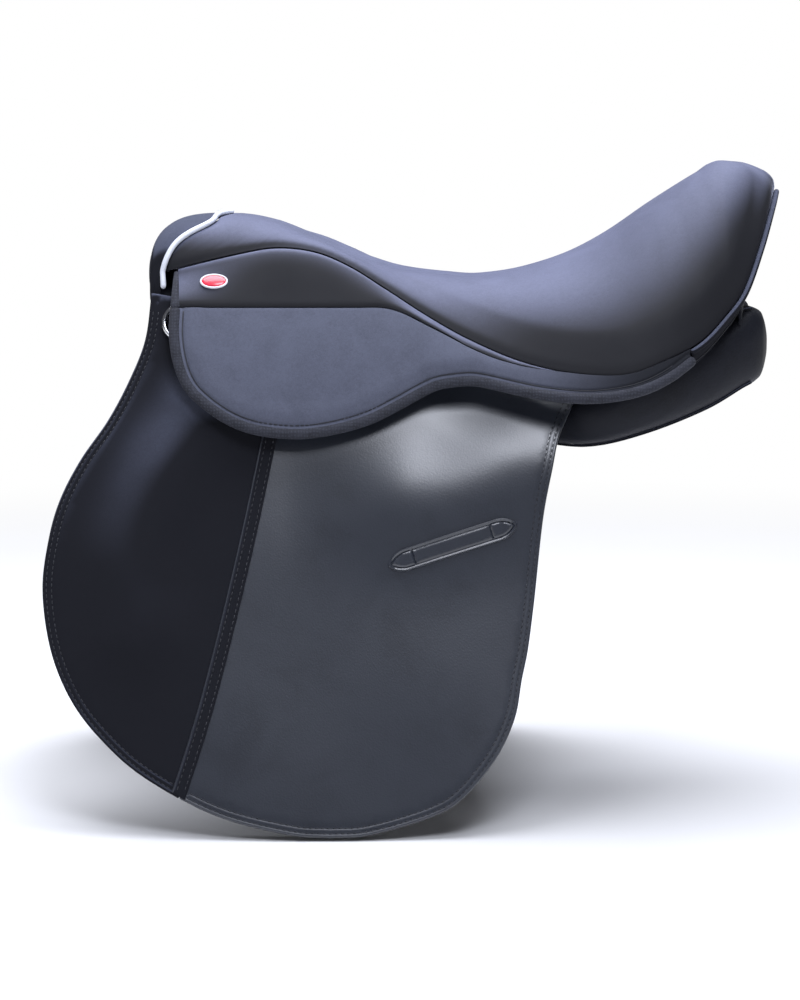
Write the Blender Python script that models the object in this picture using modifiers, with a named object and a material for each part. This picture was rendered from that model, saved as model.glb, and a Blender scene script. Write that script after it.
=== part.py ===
"""All-purpose saddle: tree, seat, skirts, flaps, panels and fittings at real size.

Metres, +Z up, +X towards the cantle, +Y towards the far side. The origin lies in the middle of
the channel between the panels, on the line of the horse's back.
"""

import math

import bmesh
import bpy
from mathutils import Matrix, Vector

# Clearances
GAP = 0.0003  # between pieces that touch
WORKING_GAP = 0.0006  # beside a pivot
SEAM_GAP = 0.0009  # groove along a sewn seam

# Centre line of the seat from the pommel to the cantle, as x and z
SEAT_LINE = [
    (-0.136, 0.1440), (-0.111, 0.1430), (-0.089, 0.1385), (-0.069, 0.1315), (-0.045, 0.1215),
    (-0.020, 0.1120), (0.004, 0.1040), (0.047, 0.0984), (0.071, 0.1000), (0.102, 0.1065),
    (0.133, 0.1170), (0.163, 0.1330), (0.194, 0.1540), (0.225, 0.1735), (0.241, 0.1825),
]
# Ribs of the seat: x on the centre line, seam point on the side and the seat's slope there.
# The first rib is the piping and the last one is the middle of the cantle.
SEAT_RIBS = [
    (-0.136, (-0.1835, 0.0580, 0.1010), 84),
    (-0.129, (-0.1700, 0.0590, 0.1055), 74),
    (-0.105, (-0.1250, 0.0610, 0.1165), 58),
    (-0.085, (-0.0950, 0.0620, 0.1213), 52),
    (-0.060, (-0.0650, 0.0630, 0.1180), 50),
    (-0.035, (-0.0380, 0.0670, 0.1070), 50),
    (-0.010, (-0.0100, 0.0750, 0.0900), 52),
    (0.018, (0.0180, 0.0860, 0.0725), 54),
    (0.050, (0.0500, 0.0980, 0.0550), 56),
    (0.088, (0.0900, 0.1130, 0.0388), 60),
    (0.125, (0.1300, 0.1270, 0.0305), 63),
    (0.158, (0.1700, 0.1365, 0.0300), 66),
    (0.185, (0.2040, 0.1320, 0.0420), 68),
    (0.206, (0.2285, 0.1200, 0.0540), 70),
    (0.220, (0.2480, 0.1050, 0.0720), 72),
    (0.229, (0.2635, 0.0900, 0.0906), 74),
    (0.235, (0.2780, 0.0640, 0.1225), 76),
    (0.239, (0.2900, 0.0320, 0.1530), 78),
    (0.241, (0.2965, 0.0000, 0.1645), 80),
]
RIB_FULLNESS = 1.18  # how full the ribs bulge, as a share of their span
SEAT_COLUMNS = [0, 0.16, 0.32, 0.48, 0.62, 0.75, 0.86, 0.94, 1]
SEAT_PLACES = [0.6] + list(range(1, len(SEAT_RIBS)))
SEAT_START = 0.46  # where the cover starts behind the piping, in the middle
SEAT_START_BACK = 0.16  # how much less that is at the side
NOSE_ROWS = (1, 0.85, 0.65, 0.40, 0.20)
NOSE_START = 0.03
NOSE_START_SIDE = 0.10

# Pommel facing: the nose in front of the piping
NOSE_REACH = 0.1955
NOSE_FULLNESS = 1.40
RIM_TOP = 0.1050
RIM_DROP = 0.0170
RIM_SETBACK = 0.0025
RIM_SPREAD = 1.025

# Seat layers
COVER = 0.0030
FOAM_DEPTH = [
    (-0.190, 0.0040), (-0.140, 0.0050), (-0.080, 0.0120), (0.000, 0.0200), (0.070, 0.0220),
    (0.150, 0.0180), (0.230, 0.0120), (0.290, 0.0090),
]
LAYER_GAP = 0.0008  # between cover, foam and tree, whose facets differ a little
FOAM_DEEPEST = 0.0220
LAYER_SIDE = 0.87  # side limit of the foam along each rib
FRONT_COLUMNS = [0, 0.16, 0.32, 0.48, 0.75]  # the seat's lines that the tree follows there
TREE_WALL = 0.0060
WALL_KNEE = 0.45  # where the wall starts, as a share of the way down to its foot
WALL_FOOT = [  # way down the flap plane to the foot of the tree's side wall, by x
    (-0.1750, 0.068), (-0.1200, 0.068), (-0.0850, 0.060), (0.0000, 0.060), (0.0220, 0.052),
    (0.0300, 0.048),
]
GULLET_PLATE = 0.0035
PIPING_RADIUS = 0.0022
PIPING_PROUD = 0.0010
WELT_RADIUS = 0.0022
FACING_BAND = 0.0110
FACING_LEATHER = 0.0025
CANTLE_START = 12.9  # place along the ribs where the cantle's bands start
CANTLE_STEPS = 12
CANTLE_MIDDLE = 0.1500  # x that the cantle's bands turn about
WELT_DROP = 0.00135
WELT_PROUD = 0.0005
FACING_INSET = 0.0006
FACING_SLOPE = 0.0045  # how far the band leans in at its lower edge

# Height and place of the stirrup bars, above which the sweat flaps start
BAR_HEIGHT = 0.0130
BAR_DOWN = 0.0420
SWEAT_TOP = BAR_DOWN + BAR_HEIGHT / 2 + 0.0025

# Plane of the flaps: everything on it is given by x, the way down and the way out
FLAP_TILT = math.radians(20.3)
FLAP_HALF = 0.0700  # outer face of a flap from the middle, at the top line
FLAP_TOP = 0.0850
FLAP_LEATHER = 0.0040
FLAP_SPACE = 0.0125  # between the flap and the sweat flap, for the girth straps
SWEAT_LEATHER = 0.0030
FLAP_FRONT = [
    (-0.1915, -0.001), (-0.1957, 0.036), (-0.2072, 0.068), (-0.2231, 0.100), (-0.2434, 0.131),
    (-0.2583, 0.162), (-0.2662, 0.193), (-0.2699, 0.232), (-0.2629, 0.277), (-0.2473, 0.3144),
    (-0.2248, 0.344), (-0.1914, 0.3733), (-0.1371, 0.4024), (-0.0819, 0.4168), (-0.0512, 0.4190),
]
FLAP_REAR = [
    (-0.0219, 0.4168), (0.0257, 0.4024), (0.0485, 0.3879), (0.0723, 0.3587), (0.0860, 0.3292),
    (0.0915, 0.300), (0.0963, 0.277), (0.1014, 0.239), (0.1084, 0.178), (0.1159, 0.139),
    (0.1209, 0.1146), (0.1289, 0.0948), (0.1329, 0.0853),
]
FLAP_FOLD = 0.1280  # way down to the fold where the flap lifts
FLAP_ROOT_TOP = [
    (-0.1915, -0.001), (-0.1600, 0.003), (-0.0900, 0.004), (-0.0400, 0.008), (-0.0100, 0.022),
    (0.0200, 0.045), (0.0500, 0.066), (0.0900, 0.079), (0.1329, 0.0853),
]
FLAP_SEAM = [(-0.0985, 0.112), (-0.1180, 0.209), (-0.1425, 0.3144), (-0.1640, 0.3870)]
SEAM_DOWNS = (0.160, 0.200, 0.250, 0.300, 0.350)  # steps of the seam's curve
SEAM_WIDTH = 0.0105
SEAM_PAST = 0.0060  # how far the seam of the two leathers runs past its strip
SEAM_THICK = 0.0012
TAB_FROM = (-0.0090, 0.2140)
TAB_TO = (0.0886, 0.1821)
TAB_WIDTH = 0.0160
TAB_THICK = 0.0018
TAB_ROUND = 0.45  # how full the ends of the tab are, less is fuller
SWEAT_OUTLINE = [
    (-0.1750, SWEAT_TOP), (-0.2050, 0.095), (-0.2350, 0.150), (-0.2480, 0.215), (-0.2380, 0.280),
    (-0.2000, 0.340), (-0.1300, 0.380), (-0.0500, 0.395), (0.0200, 0.382), (0.0600, 0.345),
    (0.0780, 0.280), (0.0900, 0.190), (0.1000, 0.120), (0.0950, 0.100), (0.0300, 0.082),
    (-0.0100, SWEAT_TOP + 0.012), (-0.0400, SWEAT_TOP + 0.004), (-0.1000, SWEAT_TOP),
]

# Skirts
SKIRT_LEATHER = 0.0035
YOKE_DROP = 0.0006  # the yoke starts a little below the seat's edge
YOKE_SHARES = (0, 0.12, 0.36, 0.68, 1)
YOKE_FULLNESS = 0.8  # how far the yoke bulges under the seat's edge
TAIL_TURN = (0, 0.2, -1)  # way that the tail's foot points
LOBE_STEP = 0.0020  # for the slope of the lobe where the yoke meets it
FOLD_HALF = FLAP_HALF + 0.0160  # hinge line of the lobe, from the middle
FOLD_HEIGHT = FLAP_TOP - 0.0090
YOKE_LINE = [  # seam between yoke and lobe, as x, y and z
    (-0.1720, FOLD_HALF, FOLD_HEIGHT), (-0.0100, FOLD_HALF, FOLD_HEIGHT),
    (0.0050, FOLD_HALF + 0.0040, FOLD_HEIGHT - 0.0050),
    (0.0200, FOLD_HALF + 0.0100, FOLD_HEIGHT - 0.0120),
    (0.0384, FOLD_HALF + 0.0150, FOLD_HEIGHT - 0.0210),
    (0.0513, FOLD_HALF + 0.0185, FOLD_HEIGHT - 0.0280),
    (0.0700, FOLD_HALF + 0.0240, FOLD_HEIGHT - 0.0360),
]
LOBE_FOOT = [  # virtual foot of the lobe's surface, as x, y and z
    (-0.1720, FOLD_HALF + 0.0400, -0.0200), (-0.0750, FOLD_HALF + 0.0400, -0.0200),
    (-0.0450, FOLD_HALF + 0.0380, -0.0150), (-0.0150, FOLD_HALF + 0.0345, -0.0060),
    (0.0100, FOLD_HALF + 0.0305, 0.0050), (0.0300, FOLD_HALF + 0.0280, 0.0160),
    (0.0500, FOLD_HALF + 0.0275, 0.0210),
]
LOBE_BULGE = 0.0060
LOBE_TUCK = 0.0060
TUCK_LENGTH = 0.0300
LOBE_END = 0.0440
LOBE_TAIL_GAP = 0.0032
SKIRT_FRONT = -0.1715
STATION_SHARES = [  # stations along the lobe, close together where its front edge turns down
    0, 0.01, 0.03, 0.06, 0.10, 0.16, 0.23, 0.31, 0.39, 0.47, 0.55, 0.63, 0.71, 0.78, 0.85, 0.92, 1,
]
BINDING_RADIUS = 0.0042
TAIL_BINDING_START = 0.0015  # clears the end of the lobe's binding
LOBE_EDGE = [  # centre line of the binding, as x and z
    (-0.1722, 0.0730), (-0.1724, 0.0554), (-0.1685, 0.0342), (-0.1605, 0.0172),
    (-0.1480, 0.0055), (-0.1310, -0.0059), (-0.1127, -0.0131), (-0.0931, -0.0163),
    (-0.0749, -0.0170), (-0.0570, -0.0150), (-0.0388, -0.0112), (-0.0205, -0.0053),
    (0.0000, 0.0049), (0.0250, 0.0182), (0.0430, 0.0236),
]
TAIL_EDGE = [  # the same along the tail, as x, y and z
    (0.0460, FOLD_HALF + 0.0265, 0.0241), (0.0671, FOLD_HALF + 0.0310, 0.0206),
    (0.1002, FOLD_HALF + 0.0420, 0.0142), (0.1324, FOLD_HALF + 0.0510, 0.0112),
    (0.1571, FOLD_HALF + 0.0550, 0.0125), (0.1812, FOLD_HALF + 0.0560, 0.0175),
    (0.2020, FOLD_HALF + 0.0510, 0.0265), (0.2190, FOLD_HALF + 0.0420, 0.0380),
]

# Fittings
BAR_PLATE = 0.0040
BAR_ROD = 0.0050
BAR_FRONT = -0.0850
BAR_BACK = -0.0100
BAR_NECK = 0.0080
BAR_STAND = 0.0060  # space between the flap and the rod, for the stirrup leather
BAR_EDGE = 0.0008
BAR_ROOM = 0.0025  # round the bar's neck, in the slot through the flap
CATCH_LENGTH = 0.0190
CATCH_LESS = 0.0005  # how much narrower than the bar on each edge
CATCH_CORNER = 0.0030
RIVET_SHANK = 0.0024
RIVET_HEAD = 0.0042
RIVET_CROWN = 0.0016
RIVET_ROUND = 0.7  # size of the rivet's crown, as a share of its head
RIVET_SHORT = 0.0010  # how far a rivet stays inside the tree's wall
RIVET_X = (-0.0680, -0.0230)
SCREW_SHANK = 0.0025
SCREW_HEAD = 0.0050
SCREW_CROWN = 0.0025
SCREW_ACROSS = 0.32
SCREW_END = 0.0010  # how far the screws stay under the tree's outer face
HOLE_PAST = 0.0040  # how far a drilled hole is cut past both faces
RING_RADIUS = 0.0134
RING_WIRE = 0.0016
RING_X = -0.1675
RING_DOWN = 0.0235
RING_OUT = 0.0023
TAB_LEATHER_WIDTH = 0.0120
TAB_LEATHER_THICK = 0.0040
RING_TAB_TOP = 0.0055
RING_TAB_PAST = 0.0042  # how far the tab reaches past the ring's wire
RING_TAB_TAPER = 0.8
RING_HOLD = 0.78  # half the angle of the ring that the tab's groove follows
BADGE_LENGTH = 0.0210
BADGE_HEIGHT = 0.0128
BADGE_THICK = 0.0016
BADGE_X = -0.1430
BADGE_LEAN = math.radians(51.5)  # of its face from level
BADGE_PROUD = 0.0012

# Girth straps and web
STRAP_WIDTH = 0.0250
STRAP_LEATHER = 0.0040
STRAP_SPACING = 0.0470
STRAP_FIRST = -0.0350
STRAP_COUNT = 3
STRAP_LENGTH = 0.2550
STRAP_TIP = 0.0150
STRAP_POINT = 0.0040  # how far the middle of the tip reaches past its shoulders
STRAP_CORNER = 0.0030
STRAP_TOP = 0.0900
WEB_HEIGHT = 0.0260
WEB_PAST = 0.0060  # how far the web reaches past the outer straps

# Knee roll
ROLL_LINE = [(-0.1650, 0.085), (-0.1950, 0.130), (-0.2150, 0.185), (-0.2150, 0.245)]
ROLL_HALF = 0.0150
ROLL_END = 0.35  # size of its ends, as a share of the middle

# Front arch that joins the panels
ARCH_FRONT = -0.1880
ARCH_LENGTH = 0.0120
ARCH_TOP = 0.1010
ARCH_HALF = 0.0470
ARCH_THICK = 0.0100
ARCH_FOOT = 0.0100
ARCH_SPREAD = 0.0130
ARCH_FALL = 0.75  # height of its round part, as a share of the half width
ARCH_ROUND = 0.80  # less makes its top squarer

# Panels. In front they hang on the tree's wall: x, half width, half thickness, how much less
# they lean than the wall in degrees and how far they move inwards.
PANEL_DOWN = 0.0730
PANEL_FRONT = [
    (ARCH_FRONT + ARCH_LENGTH + GAP, 0.0220, 0.0140, 0, 0.000),
    (-0.1500, 0.0330, 0.0170, 0, 0.000),
    (-0.0900, 0.0400, 0.0180, 0, 0.000), (-0.0500, 0.0400, 0.0180, 8, 0.002),
]
# Behind that: x, centre y and z, half width, half thickness and lean in degrees
PANEL_REST = [
    (0.0000, 0.0500, 0.0050, 0.0330, 0.0180, 48),
    (0.0500, 0.0515, -0.0010, 0.0310, 0.0200, 30),
    (0.1000, 0.0500, -0.0040, 0.0310, 0.0230, 20),
    (0.1450, 0.0620, -0.0050, 0.0400, 0.0250, 12),
    (0.1900, 0.0640, 0.0080, 0.0440, 0.0300, 4),
    (0.2350, 0.0600, 0.0260, 0.0380, 0.0330, 0),
    (0.2620, 0.0540, 0.0420, 0.0300, 0.0330, 0),
    (0.2760, 0.0500, 0.0470, 0.0210, 0.0260, 0),
    (0.2805, 0.0480, 0.0480, 0.0080, 0.0110, 0),
]
PANEL_SQUARE = 2.6  # squareness of the panel's sections

# Wall that closes the backs of the panels, under the cantle
BACK_LEATHER = 0.0022
BACK_START = 15.15  # place along the ribs where it starts on each side
BACK_STEPS = 7
BACK_DROP = 0.0009  # below the cantle's band, which leans less
BACK_EDGE = [  # its lower edge on the panels and over the channel, as y, x and z
    (0.000, 0.2760, 0.1080), (0.013, 0.2740, 0.1030), (0.026, 0.2680, 0.0900),
    (0.039, 0.2620, 0.0748), (0.054, 0.2620, 0.0760), (0.066, 0.2620, 0.0750),
    (0.074, 0.2620, 0.0714), (0.082, 0.2620, 0.0620),
]

MATERIALS = {
    "seat_nubuck": ((0.060, 0.064, 0.085), 0.85, 0.0),
    "dark_suede": ((0.022, 0.024, 0.032), 0.92, 0.0),
    "skirt_nubuck": ((0.045, 0.048, 0.065), 0.85, 0.0),
    "flap_leather": ((0.050, 0.056, 0.072), 0.55, 0.0),
    "piping_cord": ((0.55, 0.58, 0.66), 0.45, 0.0),
    "foam": ((0.60, 0.55, 0.42), 0.95, 0.0),
    "tree_polymer": ((0.030, 0.030, 0.032), 0.50, 0.0),
    "steel": ((0.62, 0.63, 0.65), 0.28, 1.0),
    "badge_enamel": ((0.72, 0.04, 0.06), 0.30, 0.0),
    "panel_leather": ((0.028, 0.030, 0.042), 0.75, 0.0),
    "strap_leather": ((0.020, 0.020, 0.024), 0.60, 0.0),
}

SIDES = (("left", -1), ("right", 1))


# Scene, collections and materials
def clear_scene():
    for item in list(bpy.data.objects):
        bpy.data.objects.remove(item, do_unlink=True)


def make_collection(name):
    group = bpy.data.collections.new(name)
    bpy.context.scene.collection.children.link(group)
    return group


def make_material(name):
    colour, roughness, metallic = MATERIALS[name]
    material = bpy.data.materials.get(name) or bpy.data.materials.new(name)
    material.use_nodes = True
    shader = material.node_tree.nodes["Principled BSDF"]
    shader.inputs["Base Color"].default_value = (*colour, 1.0)
    shader.inputs["Roughness"].default_value = roughness
    shader.inputs["Metallic"].default_value = metallic
    return material


def add_object(name, data, material):
    item = bpy.data.objects.new(name, data)
    parts.objects.link(item)
    if material:
        data.materials.append(make_material(material))
    return item


def add_cutter(name, data):
    item = bpy.data.objects.new(name, data)
    cutters.objects.link(item)
    item.hide_render = True
    item.display_type = "WIRE"
    return item


def hang(item, empty):
    """Parent the piece to its hinge and leave it where it is."""
    item.parent = empty
    item.matrix_parent_inverse = empty.matrix_world.inverted()
    return item


def make_hinge(name, place):
    empty = bpy.data.objects.new(name, None)
    parts.objects.link(empty)
    empty.location = place
    empty.empty_display_size = 0.02
    bpy.context.view_layer.update()
    return empty


# Smooth lines
def hermite(start, start_way, end, end_way, share):
    square = share * share
    cube = square * share
    return (
        start * (2 * cube - 3 * square + 1)
        + start_way * (cube - 2 * square + share)
        + end * (3 * square - 2 * cube)
        + end_way * (cube - square)
    )


def along(points, place):
    """Point at a place along a list of points, where whole numbers are the points themselves."""
    count = len(points)
    here = min(int(place), count - 2)
    vectors = [Vector(p) for p in points[max(here - 1, 0): here + 3]]
    if here == 0:
        vectors.insert(0, vectors[0] * 2 - vectors[1])
    if here == count - 2:
        vectors.append(vectors[-1] * 2 - vectors[-2])
    before, start, end, after = vectors
    return hermite(start, (end - before) / 2, end, (after - start) / 2, place - here)


def smooth(points, steps):
    """Points along a smooth line through the given ones, with so many steps between two."""
    total = (len(points) - 1) * steps
    return [along(points, i / steps) for i in range(total + 1)]


def at_x(points, x):
    """The point where a smooth line through the points, which run along x, meets this x."""
    if x <= points[0][0]:
        return Vector(points[0])
    if x >= points[-1][0]:
        return Vector(points[-1])
    here = max(i for i in range(len(points) - 1) if points[i][0] <= x)
    low, high = 0.0, 1.0
    for _ in range(30):
        middle = (low + high) / 2
        if along(points, here + middle)[0] < x:
            low = middle
        else:
            high = middle
    return along(points, here + low)


def ease(share):
    share = min(max(share, 0.0), 1.0)
    return share * share * (3 - 2 * share)


# Surface of the seat and the nose
def seat_height(x):
    return at_x(SEAT_LINE, x)[1]


def rib_seam(place):
    return along([seam for _, seam, _ in SEAT_RIBS], place)


def seat_point(place, across):
    """Place runs along the ribs, across runs from 0 in the middle to 1 at the side seam."""
    centre_x, slope = along([(x, angle) for x, _, angle in SEAT_RIBS], place)
    seam = rib_seam(place)
    centre = Vector((centre_x, 0.0, seat_height(centre_x)))
    step = 0.002
    rise = (seat_height(centre_x + step) - seat_height(centre_x - step)) / (2 * step)
    way = (seam.xy - centre.xy).normalized()
    reach = (seam - centre).length * RIB_FULLNESS
    last = len(SEAT_RIBS) - 1
    trail = rib_seam(min(place + 0.05, last)) - rib_seam(max(place - 0.05, 0))
    out = Vector((-trail.y, trail.x)).normalized()
    if place > last - 0.01:
        out = Vector((1.0, 0.0))
    angle = math.radians(slope)
    start_way = Vector((way.x, way.y, rise * way.x)) * reach
    end_way = Vector((out.x * math.cos(angle), out.y * math.cos(angle), -math.sin(angle))) * reach
    point = hermite(centre, start_way, seam, end_way, abs(across))
    if across < 0:
        point.y = -point.y
    return point


def nose_point(forward, across):
    """Forward runs from 0 at the piping to 1 at the lower rim of the pommel facing."""
    start = seat_point(0, abs(across))
    share = across * across
    rim = Vector((
        -NOSE_REACH + RIM_SETBACK * share,
        start.y * (1 + (RIM_SPREAD - 1) * share),
        RIM_TOP - RIM_DROP * share,
    ))
    reach = (rim - start).length * NOSE_FULLNESS
    point = hermite(start, Vector((-reach, 0, 0)), rim, Vector((0, 0, -reach)), forward)
    if across < 0:
        point.y = -point.y
    return point


def skin_point(place, across):
    """Whole upper skin: below 0 on the nose, above 0 on the seat."""
    if place < 0:
        return nose_point(-place, across)
    return seat_point(place, across)


def skin_normal(place, across):
    last = len(SEAT_RIBS) - 1
    side = 0.02
    ahead = skin_point(max(place - side, -1), across)
    behind = skin_point(min(place + side, last), across)
    if abs(across) > 1 - side:
        inner = math.copysign(abs(across) - side, across)
        one, two = skin_point(place, inner), skin_point(place, across)
        lateral = (two - one) * math.copysign(1, across)
    else:
        lateral = skin_point(place, across + side) - skin_point(place, across - side)
    if across == 0:
        lateral = Vector((0, 1, 0))
    normal = (behind - ahead).cross(lateral)
    if place > last - side:
        normal.y = 0
    return normal.normalized()


def under_skin(place, across, depth):
    return skin_point(place, across) - skin_normal(place, across) * depth


def foam_depth(x):
    return at_x(FOAM_DEPTH, x)[1]


# Places on the plane of a flap
def on_flap(side, x, down, out):
    y = FLAP_HALF + down * math.sin(FLAP_TILT) + out * math.cos(FLAP_TILT)
    z = FLAP_TOP - down * math.cos(FLAP_TILT) + out * math.sin(FLAP_TILT)
    return Vector((x, side * y, z))


def flap_normal(side):
    return Vector((0, side * math.cos(FLAP_TILT), math.sin(FLAP_TILT)))


SWEAT_OUT = -FLAP_LEATHER - FLAP_SPACE  # outer face of the sweat flap, seen from the flap's
SWEAT_IN = SWEAT_OUT - SWEAT_LEATHER
WALL_OUT = SWEAT_IN - GAP  # outer face of the tree's side wall


# Making meshes
def sheet_mesh(name, rows, flip=False):
    """Open surface through rows of points."""
    mesh = bpy.data.meshes.new(name)
    form = bmesh.new()
    lines = [[form.verts.new(point) for point in row] for row in rows]
    for line, following in zip(lines, lines[1:]):
        for k in range(len(line) - 1):
            corners = [line[k], following[k], following[k + 1], line[k + 1]]
            form.faces.new(corners[::-1] if flip else corners)
    bmesh.ops.remove_doubles(form, verts=form.verts, dist=0.00002)
    form.to_mesh(mesh)
    form.free()
    mesh.shade_smooth()
    mesh.set_sharp_from_angle(angle=math.radians(40))
    return mesh


def shell(name, rows, thickness, material, flip=False):
    """Leather or wall: an open surface with its thickness laid inwards."""
    item = add_object(name, sheet_mesh(name, rows, flip), material)
    solid = item.modifiers.new("wall", "SOLIDIFY")
    solid.thickness = thickness
    solid.offset = -1
    return item


def loft(name, rings, material):
    """Closed form through rings of points, with flat ends."""
    mesh = bpy.data.meshes.new(name)
    form = bmesh.new()
    lines = [[form.verts.new(point) for point in ring] for ring in rings]
    count = len(rings[0])
    for line, following in zip(lines, lines[1:]):
        for k in range(count):
            form.faces.new([line[k], following[k], following[(k + 1) % count], line[(k + 1) % count]])
    form.faces.new(lines[0])
    form.faces.new(lines[-1][::-1])
    bmesh.ops.recalc_face_normals(form, faces=form.faces)
    form.to_mesh(mesh)
    form.free()
    mesh.shade_smooth()
    mesh.set_sharp_from_angle(angle=math.radians(50))
    return add_object(name, mesh, material)


def tube_curve(name, points, radius, resolution=2):
    curve = bpy.data.curves.new(name, "CURVE")
    curve.dimensions = "3D"
    curve.bevel_depth = radius
    curve.bevel_resolution = resolution
    curve.use_fill_caps = True
    spline = curve.splines.new("POLY")
    spline.points.add(len(points) - 1)
    for point, place in zip(spline.points, points):
        point.co = (*place, 1.0)
    return curve


def plate_curve(name, outline, thickness, holes=()):
    """Flat outline with its holes, extruded to the thickness."""
    curve = bpy.data.curves.new(name, "CURVE")
    curve.dimensions = "2D"
    curve.fill_mode = "BOTH"
    curve.extrude = thickness / 2
    for line in (outline, *holes):
        spline = curve.splines.new("POLY")
        spline.points.add(len(line) - 1)
        for point, place in zip(spline.points, line):
            point.co = (place[0], place[1], 0.0, 1.0)
        spline.use_cyclic_u = True
    return curve


def lay_on_flap(item, side, middle):
    """Turn a plate's own x and y into the way along and down the flap."""
    item.rotation_euler.x = side * FLAP_TILT - math.pi / 2
    item.location = on_flap(side, 0, 0, middle)
    bpy.context.view_layer.update()
    return item


def flap_plate(name, side, outline, outer, thickness, material, holes=()):
    """Plate whose outer face lies so far out from the flap's outer face."""
    item = add_object(name, plate_curve(name, outline, thickness, holes), material)
    return lay_on_flap(item, side, outer - thickness / 2)


def as_mesh(item):
    """Replace a curve object by a welded mesh object with the same name and place."""
    bpy.context.view_layer.update()
    name = item.name
    graph = bpy.context.evaluated_depsgraph_get()
    mesh = bpy.data.meshes.new_from_object(item.evaluated_get(graph))
    form = bmesh.new()
    form.from_mesh(mesh)
    bmesh.ops.remove_doubles(form, verts=form.verts, dist=0.00001)
    bmesh.ops.recalc_face_normals(form, faces=form.faces)
    form.to_mesh(mesh)
    form.free()
    holders = list(item.users_collection)
    place = item.matrix_world.copy()
    helper, display = item.hide_render, item.display_type
    bpy.data.objects.remove(item, do_unlink=True)
    solid = bpy.data.objects.new(name, mesh)
    solid.matrix_world = place
    solid.hide_render = helper
    solid.display_type = display
    for holder in holders:
        holder.objects.link(solid)
    return solid


def cut(item, cutter):
    step = item.modifiers.new("cut", "BOOLEAN")
    step.operation = "DIFFERENCE"
    step.solver = "EXACT"
    step.object = cutter
    return item


def pin_mesh(name, rounds, segments=12):
    """Turned pin: each round is a radius and its start and end along z, all in one body."""
    profile = []
    for radius, low, high in rounds:
        profile += [(radius, low), (radius, high)]
    mesh = bpy.data.meshes.new(name)
    form = bmesh.new()
    rings = []
    for radius, height in profile:
        ring = bmesh.ops.create_circle(form, segments=segments, radius=radius)["verts"]
        bmesh.ops.translate(form, verts=ring, vec=(0, 0, height))
        rings.append(ring)
    for ring, following in zip(rings, rings[1:]):
        for k in range(segments):
            form.faces.new([ring[k], ring[(k + 1) % segments], following[(k + 1) % segments],
                            following[k]])
    form.faces.new(rings[0][::-1])
    form.faces.new(rings[-1])
    bmesh.ops.recalc_face_normals(form, faces=form.faces)
    form.to_mesh(mesh)
    form.free()
    mesh.shade_smooth()
    mesh.set_sharp_from_angle(angle=math.radians(40))
    return mesh


def aim(place, way):
    """Matrix that puts local z along a direction."""
    turn = Vector(way).normalized().to_track_quat("Z", "Y").to_matrix().to_4x4()
    return Matrix.Translation(place) @ turn


# Seat, tree and pommel
def both_sides(half):
    return [-share for share in half[:0:-1]] + half


def columns_to(limit):
    """The seat's lines from front to back, as shares of the way from the middle to the seam."""
    return both_sides([share for share in SEAT_COLUMNS if share <= limit])


def build_seat():
    columns = columns_to(1)
    rows = [[seat_point(SEAT_START - SEAT_START_BACK * abs(a), a) for a in columns]]
    rows += [[seat_point(place, a) for a in columns] for place in SEAT_PLACES]
    shell("seat_cover", rows, COVER, "seat_nubuck")

    columns = columns_to(LAYER_SIDE)
    rows = [[under_skin(p, a, COVER + layer_gap(p)) for a in columns] for p in SEAT_PLACES]
    foam = shell("seat_foam", rows, FOAM_DEEPEST, "foam")
    weights = foam.vertex_groups.new(name="depth")
    for i, place in enumerate(SEAT_PLACES):
        for j, across in enumerate(columns):
            share = foam_depth(skin_point(place, across).x) / FOAM_DEEPEST
            weights.add([i * len(columns) + j], share, "REPLACE")
    foam.modifiers["wall"].vertex_group = "depth"

    rows = [[nose_point(share, a) for a in columns_to(1)] for share in NOSE_ROWS]
    rows.append([nose_point(NOSE_START + NOSE_START_SIDE * a * a, a) for a in columns_to(1)])
    shell("pommel_facing", rows, COVER, "dark_suede")

    line = []
    for across in [k / 12 for k in range(-12, 13)]:
        line.append(skin_point(0, across) + skin_normal(0, across) * PIPING_PROUD)
    add_object("pommel_piping", tube_curve("pommel_piping", line, PIPING_RADIUS), "piping_cord")


def layer_gap(place):
    """Twice as wide at the cantle, where the ribs fan out."""
    last = len(SEAT_RIBS) - 1
    return LAYER_GAP * (1 + ease((place - last + 3) * 2))


def tree_depth(place, across):
    return COVER + 2 * layer_gap(place) + foam_depth(skin_point(place, across).x)


def wall_foot(x):
    """Way down the flap plane to the foot of the tree's side wall."""
    return at_x(WALL_FOOT, x)[1]


def tree_rows(places, extra):
    """Rows under the foam, which in front are carried on down the side to the wall's foot."""
    rows = []
    for place in places:
        half = [under_skin(place, a, tree_depth(place, a) + extra) for a in FRONT_COLUMNS]
        edge = half[-1]
        if edge.x < WALL_FOOT[-1][0]:
            local = edge - on_flap(1, edge.x, 0, 0)
            down = local.y * math.sin(FLAP_TILT) - local.z * math.cos(FLAP_TILT)
            foot = wall_foot(edge.x)
            half.append(on_flap(1, edge.x, down + WALL_KNEE * (foot - down), WALL_OUT - extra))
            half.append(on_flap(1, edge.x, foot, WALL_OUT - extra))
        else:
            shares = [a for a in SEAT_COLUMNS if a <= LAYER_SIDE]
            half = [under_skin(place, a, tree_depth(place, a) + extra) for a in shares]
        rows.append([mirror(point, -1) for point in half[:0:-1]] + half)
    return rows


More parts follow.
